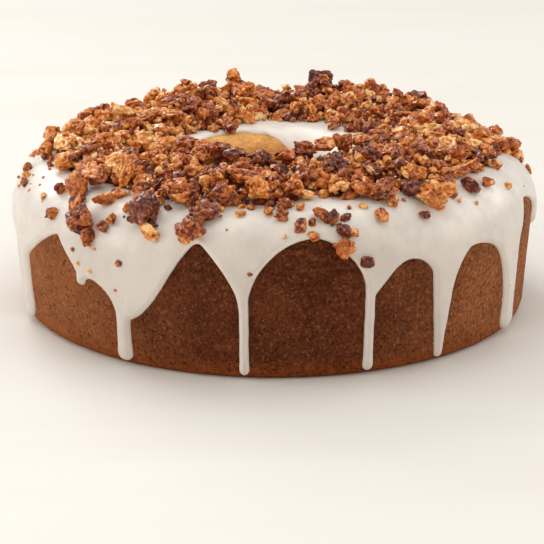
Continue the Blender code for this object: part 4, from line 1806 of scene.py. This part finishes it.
@dataclass
class NutHeap:
    """The heap of candied nuts: a sticky core, and nuts dropped on it one by one until the heap is full."""

    skin: Skin
    glaze: bpy.types.Object
    solid: bpy.types.Object
    finish: bpy.types.Material
    depth: float = 5.5 * MM
    sink: float = 0.9 * MM
    fullness: float = 0.90
    core_columns: int = 300
    core_rows: int = 34
    core_reach: tuple[float, float] = (122 * MM, 46 * MM)
    core_lump: float = 1.6 * MM
    core_lumps_per_metre: float = 260.0
    core_least: float = 0.2 * MM
    core_foot: float = 1.0 * MM
    # dark tint of the core: painted shade in the gaps between the nuts
    core_shade_tint: float = 0.10
    drowned: float = 1.5 * MM
    helpings: tuple[Helping, ...] = (
        Helping(Chop.BIT, 300, (-3.5 * MM, -1.5 * MM), 3.0 * MM, 0.45),
        Helping(Chop.PECAN, 45, (-1.0 * MM, 2.0 * MM), 3.0 * MM, 0.35),
        Helping(Chop.CLUSTER, 90, (-1.0 * MM, 2.5 * MM), 3.5 * MM, 0.5),
        Helping(Chop.CHUNK, 380, (-1.0 * MM, 2.4 * MM), 2.0 * MM, 0.55),
        Helping(Chop.BIT, 800, (-1.2 * MM, 2.0 * MM), 1.0 * MM, 0.6),
        Helping(Chop.GRIT, 1300, (-1.0 * MM, 1.2 * MM), 0.3 * MM, 0.6),
    )
    proud_nuts: tuple[ProudNut, ...] = (
        ProudNut(Chop.CHUNK, -167.4, 102.0, 9.0, 94.6, Pose.UPRIGHT, 0.6),
        ProudNut(Chop.CHUNK, -169.6, 101.0, 9.5, 90.5, Pose.UPRIGHT, 0.4),
        ProudNut(Chop.CLUSTER, -160.4, 104.0, 9.5, 88.6, tint=0.35),
        ProudNut(Chop.CLUSTER, 166.2, 102.0, 15.0, 93.0, tint=0.05),
        ProudNut(Chop.CHUNK, 158.5, 106.0, 11.0, 88.6, tint=0.4),
        ProudNut(Chop.CHUNK, 151.5, 109.0, 10.0, 89.8, Pose.UPRIGHT, 0.5),
        ProudNut(Chop.CLUSTER, 135.6, 108.5, 14.0, 87.2, tint=0.3),
        ProudNut(Chop.CLUSTER, 140.6, 104.0, 10.0, 84.5, tint=0.5),
        ProudNut(Chop.CHUNK, 127.6, 112.0, 8.0, 80.5, Pose.UPRIGHT, 0.35),
        ProudNut(Chop.CHUNK, 116.6, 112.0, 9.5, 80.5, Pose.UPRIGHT, 0.6),
        ProudNut(Chop.CLUSTER, 102.0, 110.0, 15.0, 80.5, tint=0.5),
        ProudNut(Chop.CHUNK, 85.1, 113.0, 8.5, 79.8, Pose.UPRIGHT, 0.55),
        ProudNut(Chop.CHUNK, -90.0, 108.5, 13.0, 87.5, Pose.UPRIGHT, 0.35),
        ProudNut(Chop.CHUNK, -85.5, 111.5, 11.0, 81.5, Pose.UPRIGHT, 0.5),
        ProudNut(Chop.CLUSTER, -121.2, 103.0, 11.0, 85.4, tint=0.4),
        ProudNut(Chop.PECAN, -51.5, 107.0, 22.0, 84.0, tint=0.35),
        ProudNut(Chop.PECAN, -41.5, 102.0, 16.0, 90.5, Pose.UPRIGHT, 0.75),
        ProudNut(Chop.CHUNK, -62.0, 57.5, 10.0, 88.0, tint=0.7),
        ProudNut(Chop.CLUSTER, -50.0, 54.5, 12.0, 89.0),
        ProudNut(Chop.CHUNK, -40.0, 52.5, 11.0, 89.0, tint=0.75),
        ProudNut(Chop.CLUSTER, -29.0, 54.0, 12.0, 89.5, tint=0.35),
        ProudNut(Chop.CHUNK, -18.0, 59.0, 11.0, 89.0, tint=0.25),
        ProudNut(Chop.CLUSTER, -6.0, 62.0, 11.0, 89.0, tint=0.2),
        ProudNut(Chop.CHUNK, 5.0, 58.0, 10.0, 89.0),
        ProudNut(Chop.CLUSTER, 16.0, 50.0, 12.0, 90.0),
        ProudNut(Chop.CHUNK, 29.0, 48.5, 11.0, 90.5, tint=0.65),
        ProudNut(Chop.CLUSTER, 42.0, 49.0, 11.0, 90.5),
        ProudNut(Chop.CHUNK, 55.0, 50.0, 10.0, 90.0),
        ProudNut(Chop.CLUSTER, 69.0, 53.0, 12.0, 89.0),
        ProudNut(Chop.CLUSTER, -11.0, 107.0, 13.0, 84.5),
        ProudNut(Chop.PECAN, -8.0, 94.0, 18.0, 88.0),
        ProudNut(Chop.CLUSTER, -24.0, 106.0, 13.0, 84.5),
        ProudNut(Chop.CLUSTER, 26.0, 108.0, 14.0, 84.0),
        ProudNut(Chop.PECAN, 41.0, 90.0, 19.0, 87.5),
    )
    outer_edge: tuple[tuple[float, float], ...] = (
        (-180.0, 130.0), (-130.0, 130.0), (-106.0, 116.5), (-90.0, 113.5), (-81.5, 112.5), (-67.0, 109.8),
        (-55.0, 106.7), (-50.0, 102.8), (-46.0, 102.8), (-39.6, 106.1), (-33.4, 113.3), (-24.8, 115.5),
        (-12.0, 114.3), (-5.0, 111.5), (0.0, 115.0), (3.0, 112.4), (5.5, 107.5), (8.0, 99.0), (10.8, 96.0),
        (13.0, 101.5), (18.0, 107.9), (22.0, 108.6), (27.0, 99.0), (30.0, 98.0), (33.0, 111.0),
        (36.0, 117.0), (43.6, 116.0), (48.4, 113.0), (54.0, 111.0), (60.0, 113.5), (70.6, 115.5),
        (83.0, 118.4), (95.0, 130.0), (180.0, 130.0),
    )
    sag: tuple[tuple[float, float], ...] = ((86.0, 0.0), (98.0, 3.2), (146.0, 3.2), (156.0, 0.0))
    edge_inset: float = 2.6 * MM
    edge_wander: float = 3.0 * MM
    edge_waves_per_metre: float = 90.0
    mound_shares: tuple[float, float] = (0.80, 0.42)
    mound_least: float = 2.5 * MM
    heap_least: float = 2.0 * MM
    top_blur: float = 1.6 * MM
    core_blur: float = 4.0 * MM
    edge_blur: float = 3.0 * MM
    core_cover: tuple[float, float] = (0.66, 0.30)
    inner_limit: float = 43.0 * MM
    tries: int = 14
    recount: int = 200
    fewest_places: int = 20
    slope_blur: float = 3.0 * MM
    stand_sway: float = 0.12
    tint_spread: tuple[float, float] = (1.5, 1.5)
    front_shade: float = 0.20
    side_light: float = 0.11
    left_light: float = 0.10
    seed: int = 17
    chart: HeightMap = field(init=False)
    floor: Array = field(init=False)
    wanted: Array = field(init=False)
    footprint: Array = field(init=False)
    share: Array = field(init=False)
    core: Array = field(init=False)

    def survey(self) -> None:
        """Read the glaze's top and the solid heap's top, and set out the core between them."""
        self.chart = HeightMap()
        radius = np.hypot(self.chart.x, self.chart.y)
        bare = self.skin.read(self.skin.at_radius(radius), self.skin.height)
        self.floor = np.fmax(self.chart.top_of(self.glaze), bare)
        angle = np.degrees(np.arctan2(self.chart.x, -self.chart.y))
        chance = level_noise(self.chart.x, self.chart.y, self.edge_waves_per_metre, 5.0)
        limit = np.interp(angle, *np.array(self.outer_edge).T) * MM - self.edge_inset
        limit += chance * self.edge_wander
        base = mounds = self.floor
        for nut in self.proud_nuts:
            x, y = nut.place()
            off = np.hypot(self.chart.x - x, self.chart.y - y) / (nut.length * MM)
            summit = (nut.top - self.mound_shares[nut.pose is Pose.ROUND] * nut.length) * MM
            mounds = np.maximum(mounds, base + (summit - base) * np.exp(-off ** 2))
        heaped = self.chart.top_of(self.solid) - np.interp(angle, *np.array(self.sag).T) * MM
        wanted = np.fmax(heaped, np.where(mounds > base + self.mound_least, mounds, np.nan))
        self.footprint = ~np.isnan(wanted) & (radius < limit) & (radius > self.inner_limit)
        filled = np.where(self.footprint, wanted, base)
        soft = self.chart.smoothed(filled, self.top_blur)
        self.wanted = np.where(self.footprint, np.maximum(soft, base + self.heap_least), base)
        broad = self.chart.smoothed(filled, self.core_blur)
        cover = self.chart.smoothed(self.footprint.astype(float), self.edge_blur)
        edge, span = self.core_cover
        self.share = np.clip((cover - edge) / span, 0.0, 1.0)
        raised = (np.minimum(broad, soft) - self.depth - base) * self.share
        self.core = base + raised - self.drowned * (1 - self.share)

    def build_core(self) -> bpy.types.Object:
        """The sticky mass under the nuts that show, sunk into the glaze at its edges and tinted dark as
        painted shade between the nuts.

        Returns:
            The core.
        """
        columns, rows = self.core_columns, self.core_rows
        turn = np.linspace(0, 2 * math.pi, columns, endpoint=False)
        reach = np.linspace(*self.core_reach, rows)
        turns, reaches = np.meshgrid(turn, reach, indexing="ij")
        x, y = reaches * np.sin(turns), -reaches * np.cos(turns)
        low = self.chart.at(self.floor, x, y) - 2 * self.drowned
        top = self.chart.at(self.core, x, y)
        share = self.chart.at(self.share, x, y)
        lumps = level_noise(x, y, self.core_lumps_per_metre, 1.0)
        top = np.maximum(top + lumps * self.core_lump * share, low + self.core_least)
        upper = np.stack([x, y, top], axis=2)
        lower = np.stack([x, y, low - self.core_foot], axis=2)[:, ::-1]
        points = np.concatenate([upper, lower], axis=1)
        ring = 2 * rows
        faces = []
        for column in range(columns):
            here, after = column * ring, (column + 1) % columns * ring
            faces += [(here + i, after + i, after + (i + 1) % ring, here + (i + 1) % ring)
                      for i in range(ring)]
        made = new_object("nut_core", points.reshape(-1, 3), faces)
        close_up(made)
        made.data.shade_smooth()
        # The core's dark tint is painted shade in the gaps between the nuts.
        carry(made, "tint", np.full(len(made.data.vertices), self.core_shade_tint))
        made.data.materials.append(self.finish)
        return made

    def drop(self, rng: random.Random, helping: Helping, ground: Array, batch: NutBatch) -> int:
        """Drop one helping of nuts, each onto whatever lies there already.

        Args:
            rng: the source of chance.
            helping: what to drop.
            ground: the heights so far, which grow as nuts land.
            batch: where the nuts are noted.

        Returns:
            How many landed.
        """
        cut, cell = CHOPPED[helping.chop], self.chart.cell
        slope = np.gradient(self.chart.smoothed(ground, self.slope_blur), cell)
        landed, open_places = 0, []
        for attempt in range(self.tries * helping.most):
            if attempt % self.recount == 0:
                open_places = np.argwhere(self.footprint & (self.wanted - ground > helping.needed))
            if landed >= helping.most or len(open_places) < self.fewest_places:
                break
            i, j = open_places[rng.randrange(len(open_places))]
            measure = cut.measure(rng)
            lean = Vector((-slope[0][i, j], -slope[1][i, j], 1.0)).normalized()
            sway = Vector([rng.gauss(0.0, helping.tilt) for _ in range(3)])
            turn = batch.turned(lean + sway, batch.level(rng))
            shadow = self.shadow(i, j, turn, measure)
            highest = self.wanted[i, j] + rng.uniform(*helping.proud) - shadow.rise
            if shadow.resting(ground, self.sink) > highest:
                continue
            x, y = self.chart.x[i, j], self.chart.y[i, j]
            place = (x, y, shadow.settle(ground, self.sink))
            batch.add(place, turn, measure, rng.betavariate(*self.tint_spread) + self.tint_shift(x, y))
            landed += 1
        return landed

    def tint_shift(self, x: float, y: float) -> float:
        """How much paler the nuts of a side of the heap are: painted light on the left and on both sides,
        painted shade at the front.

        Args:
            x: a nut's first coordinate.
            y: its second one.

        Returns:
            What its tint grows by.
        """
        reach = math.hypot(x, y)
        shift = self.side_light * abs(x) / reach + self.left_light * max(0.0, -x) / reach
        return shift - self.front_shade * (max(0.0, -y) / reach) ** 3

    def shadow(self, i: int, j: int, turn: Matrix, measure: Sequence[float]) -> NutShadow:
        """What a nut covers of the map, with its middle over one of the map's points."""
        half = np.array(turn) * (0.5 * self.fullness * np.array(measure))
        return NutShadow(self.chart, i, j, half @ half.T)

    def stand(self, rng: random.Random, ground: Array, batches: dict[Chop, NutBatch]) -> None:
        """Set the nuts that stand out of the heap in their places, each with its top at its height.

        Args:
            rng: the source of chance.
            ground: the heights so far, which grow as nuts are set.
            batches: where the nuts are noted.
        """
        upwards = Vector((0.0, 0.0, 1.0))
        for nut in self.proud_nuts:
            x, y = nut.place()
            outwards = Vector((x, y, 0.0)).normalized()
            sway = Vector([rng.gauss(0.0, self.stand_sway) for _ in range(3)])
            lie = {Pose.UPRIGHT: (outwards + sway, upwards + sway * 2),
                   Pose.ROUND: (upwards + sway, outwards.cross(upwards) + sway)}[nut.pose]
            batch = batches[nut.chop]
            matrix, measure = batch.turned(*lie), CHOPPED[nut.chop].measure(rng, nut.length * MM)
            i, j = (round((value + self.chart.half) / self.chart.cell) for value in (x, y))
            shadow = self.shadow(i, j, matrix, measure)
            middle = nut.top * MM - shadow.rise
            shadow.cover(ground, middle)
            batch.add((x, y, middle), matrix, measure, nut.tint)

    def build(self) -> list[bpy.types.Object]:
        """Make the heap's pieces and put them in the solid heap's place.

        Returns:
            The pieces.
        """
        self.survey()
        ground = np.maximum(self.floor, self.core)
        rng = random.Random(self.seed)
        batches = {chop: NutBatch(chop) for chop in Chop}
        for number, helping in enumerate(self.helpings):
            landed = self.drop(rng, helping, ground, batches[helping.chop])
            LOG.info("%d of %d %s nuts landed", landed, helping.most, helping.chop.value)
            if number == 0:
                self.stand(rng, ground, batches)
        pieces = [self.build_core()]
        for number, (chop, batch) in enumerate(batches.items()):
            pieces.append(batch.build(f"nut_{chop.value}s", self.finish, self.seed + number))
        for piece in pieces:
            report(piece, Slot.NUT, Part.NUTS)
        return pieces


@dataclass
class FallenNuts:
    """The nuts and bits that fell clear of the heap and stuck to the glaze.

    A stray is (degrees round the cake, millimetres along the skin, millimetres long, tint).
    """

    skin: Skin
    finish: bpy.types.Material
    lift: float = 1.5 * MM
    bedded: float = 0.32
    sway: float = 0.25
    grits: int = 60
    grit_lengths: tuple[float, float] = (1.0, 2.6)
    grit_line: tuple[float, float] = (74.0, 4.5)
    grit_limit: float = 84.0
    seed: int = 41
    strays: dict[Chop, tuple[tuple[float, float, float, float], ...]] = field(default_factory=lambda: {
        Chop.CLUSTER: (
            (-58.2, 76.4, 8.5, 0.3), (-43.4, 66.3, 15.0, 0.12), (-28.9, 75.6, 17.0, 0.10),
            (-15.2, 78.2, 13.0, 0.22), (-17.4, 69.7, 13.0, 0.40), (1.4, 77.6, 6.5, 0.45),
            (2.4, 84.8, 7.5, 0.3), (11.9, 74.3, 7.5, 0.08), (14.0, 68.6, 8.5, 0.12),
            (13.6, 62.0, 9.0, 0.55), (36.9, 77.4, 17.0, 0.75), (96.0, 74.0, 9.0, 0.5),
            (139.0, 74.5, 11.0, 0.3), (-171.0, 73.5, 9.0, 0.6), (-124.0, 74.0, 10.0, 0.2),
            (-141.5, 135.8, 10.0, 0.4), (-148.5, 141.6, 9.0, 0.3), (126.0, 145.4, 8.0, 0.2),
            (124.8, 139.2, 10.0, 0.45), (116.5, 138.2, 10.0, 0.2),
        ),
        Chop.CHUNK: (
            (-76.0, 69.4, 5.5, 0.15), (-54.6, 65.5, 7.0, 0.3), (-52.8, 79.3, 14.0, 0.55),
            (-49.0, 73.7, 9.0, 0.45), (-41.6, 78.0, 11.0, 0.5), (-40.6, 84.8, 8.0, 0.6),
            (-41.2, 61.0, 9.0, 0.35), (-38.2, 66.0, 7.0, 0.15), (-36.6, 70.2, 7.0, 0.65),
            (-26.1, 67.8, 11.0, 0.8), (7.9, 93.0, 7.8, 1.0), (5.6, 72.4, 7.0, 0.5), (9.9, 76.8, 8.0, 0.5),
            (15.1, 74.8, 5.8, 0.08), (18.2, 55.8, 8.0, 0.08), (23.1, 73.4, 8.0, 0.6), (27.5, 80.3, 6.5, 0.7),
            (33.0, 70.8, 6.0, 0.1), (50.6, 78.0, 10.5, 0.1), (56.6, 76.1, 8.0, 0.5), (118.0, 71.0, 7.0, 0.4),
            (163.0, 70.5, 8.0, 0.7), (-149.0, 72.0, 7.0, 0.3), (-101.0, 71.0, 7.5, 0.5),
            (-140.8, 143.4, 8.0, 0.5), (-150.0, 148.0, 8.0, 0.45), (-166.0, 136.0, 8.0, 0.7),
            (139.0, 147.6, 9.0, 0.5), (99.5, 139.2, 8.0, 0.6),
        ),
        Chop.BIT: (
            (-84.0, 73.0, 6.0, 0.35), (-79.5, 71.5, 5.5, 0.8), (-62.4, 70.3, 4.5, 0.9),
            (-18.2, 65.7, 6.0, 0.5), (-34.4, 76.8, 5.0, 0.5), (-7.6, 79.5, 5.0, 0.9), (-5.4, 83.5, 4.0, 0.5),
            (-1.0, 80.0, 5.5, 0.6), (5.9, 82.7, 5.0, 0.6), (7.8, 67.5, 6.0, 0.55), (7.8, 74.0, 5.0, 0.2),
            (16.2, 67.8, 4.6, 0.7), (20.2, 80.3, 4.8, 0.8), (43.4, 77.2, 5.0, 0.1), (63.5, 71.0, 4.8, 0.7),
            (-32.6, 52.4, 4.5, 0.3), (131.0, 66.0, 5.0, 0.3), (178.0, 70.0, 5.5, 0.6),
            (-112.0, 66.5, 5.0, 0.2), (88.0, 66.0, 5.5, 0.5), (151.0, 73.0, 6.0, 0.4),
            (-160.0, 65.5, 5.0, 0.7),
        ),
        Chop.GRIT: (
            (2.0, 67.9, 2.5, 0.9), (-4.8, 52.7, 3.0, 0.4), (16.8, 80.6, 3.0, 0.3), (44.5, 73.7, 3.0, 0.9),
            (48.8, 70.2, 2.5, 0.9), (-45.4, 53.7, 2.6, 0.3), (-43.8, 47.7, 2.6, 0.7),
            (-40.4, 45.3, 2.8, 0.95), (-40.5, 57.7, 2.4, 0.7), (-39.2, 56.4, 2.2, 0.8),
            (-33.9, 38.9, 2.0, 0.6),
        ),
    })

    def lay(self, rng: random.Random, batch: NutBatch, stray: Sequence[float]) -> None:
        """Stick one nut to the glaze.

        Args:
            rng: the source of chance.
            batch: where the nut is noted.
            stray: its place, length and tint.
        """
        angle, along, length, tint = stray
        turn, distance = np.array(math.radians(angle)), np.array(along * MM)
        measure = CHOPPED[batch.chop].measure(rng, length * MM)
        place = self.skin.point(turn, distance, self.lift + self.bedded * measure[2])
        sway = Vector([rng.gauss(0.0, self.sway) for _ in range(3)])
        up = Vector(self.skin.normal(turn, distance)) + sway
        batch.add(place, batch.turned(up, batch.level(rng)), measure, tint)

    def build(self) -> list[bpy.types.Object]:
        """Make the fallen nuts and put them in the place of the solid glaze's.

        Returns:
            The pieces.
        """
        rng = random.Random(self.seed)
        batches = {chop: NutBatch(chop) for chop in self.strays}
        for chop, places in self.strays.items():
            for stray in places:
                self.lay(rng, batches[chop], stray)
        for _ in range(self.grits):
            along = min(rng.gauss(*self.grit_line), self.grit_limit)
            stray = (rng.uniform(-180, 180), along, rng.uniform(*self.grit_lengths), rng.random())
            self.lay(rng, batches[Chop.GRIT], stray)
        pieces = [batch.build(f"fallen_{chop.value}s", self.finish, self.seed + number)
                  for number, (chop, batch) in enumerate(batches.items())]
        for piece in pieces:
            report(piece, Slot.NUT, Part.GLAZE)
        return pieces


@dataclass(frozen=True)
class TableFinish:
    """A pale, warm, matt table top, with a faint grain."""

    pale: Colour = (0.76, 0.735, 0.685)
    warm: Colour = (0.74, 0.705, 0.645)
    roughness: float = 0.55

    def build(self) -> bpy.types.Material:
        """Make the material.

        Returns:
            The material.
        """
        surface = Surface("pale_table")
        place = surface.place()
        grain = surface.noise(surface.stretch(place, (0.18, 1.0, 1.0)), 60 * MM, 3)
        colour = surface.blend(grain.step(0.35, 0.75), self.pale, self.warm)
        return surface.finish(Base_Color=colour, Roughness=self.roughness)


@dataclass(frozen=True)
class Softbox:
    """A large soft lamp: where it stands, what it faces, its size, power and colour."""

    name: str
    place: tuple[float, float, float]
    size: tuple[float, float]
    power: float
    colour: Colour = (1.0, 1.0, 1.0)
    aim: tuple[float, float, float] = (0.0, 0.0, 0.04)

    def build(self) -> None:
        """Hang the lamp."""
        lamp = bpy.data.lights.new(self.name, "AREA")
        lamp.shape = "RECTANGLE"
        lamp.size, lamp.size_y = self.size
        lamp.energy = self.power
        lamp.color = self.colour
        made = bpy.data.objects.new(self.name, lamp)
        made.location = self.place
        made.rotation_euler = (Vector(self.aim) - Vector(self.place)).to_track_quat("-Z", "Y").to_euler()
        bpy.context.scene.collection.objects.link(made)


@dataclass
class Studio:
    """The table top, the lamps, the sky's light and the camera."""

    finish: TableFinish = field(default_factory=TableFinish)
    table_half: float = 3.0
    sky: Colour = (1.0, 0.985, 0.96)
    sky_strength: float = 0.42
    lens: float = 132.35
    camera_place: tuple[float, float, float] = (-0.0012, -0.9561, 0.3097)
    camera_down: float = 17.32
    far: float = 20.0
    lamps: tuple[Softbox, ...] = (
        Softbox("window", (-1.9, 2.9, 2.4), (2.6, 2.1), 80.0, (1.0, 0.985, 0.965)),
        Softbox("window_right", (2.6, 1.5, 1.5), (1.6, 1.6), 24.0, (1.0, 0.98, 0.955)),
        Softbox("ceiling", (0.0, 0.1, 1.6), (1.6, 1.6), 11.0),
        Softbox("side_left", (-2.0, -0.3, 0.9), (1.6, 1.2), 21.0, (1.0, 0.97, 0.93)),
        Softbox("side_right", (2.0, -0.3, 0.9), (1.6, 1.2), 12.0, (1.0, 0.97, 0.93)),
        Softbox("fill", (0.0, -1.9, 0.35), (1.4, 0.7), 5.5, (1.0, 0.78, 0.58)),
    )

    def table(self) -> bpy.types.Object:
        """The table top, level with the cake's underside.

        Returns:
            The table top.
        """
        half = self.table_half
        corners = [(-half, -half, 0.0), (half, -half, 0.0), (half, half, 0.0), (-half, half, 0.0)]
        made = new_object("table_top", corners, [(0, 1, 2, 3)])
        made.data.materials.append(self.finish.build())
        return made

    def light(self) -> None:
        """Hang the lamps and set the sky."""
        for lamp in self.lamps:
            lamp.build()
        world = bpy.context.scene.world or bpy.data.worlds.new("sky")
        bpy.context.scene.world = world
        world.use_nodes = True
        sky = world.node_tree.nodes["Background"]
        sky.inputs["Color"].default_value = (*self.sky, 1.0)
        sky.inputs["Strength"].default_value = self.sky_strength

    def look(self) -> None:
        """Stand the camera in front, and leave the colours as they are."""
        view = bpy.context.scene.view_settings
        view.view_transform = "Standard"
        view.look = "None"
        camera = bpy.data.cameras.new("camera")
        camera.lens = self.lens
        camera.clip_end = self.far
        made = bpy.data.objects.new("camera", camera)
        made.location = self.camera_place
        made.rotation_euler = (math.radians(90.0 - self.camera_down), 0.0, 0.0)
        bpy.context.scene.collection.objects.link(made)
        bpy.context.scene.camera = made

    def build(self) -> None:
        """Set everything round the cake."""
        self.table()
        self.light()
        self.look()


def main() -> None:
    """Build the cake from its crust outwards, and the studio round it."""
    logging.basicConfig(level=logging.INFO, format="%(name)s: %(message)s")
    skin = Skin(CakeShape())
    Crust(skin).build()
    glaze = GlazePour(skin).build()
    nut = NutFinish().build()
    NutHeap(skin, glaze, frame["nodes"][Part.NUTS.value], nut).build()
    FallenNuts(skin, nut).build()
    Studio().build()


if __name__ == "__main__":
    main()
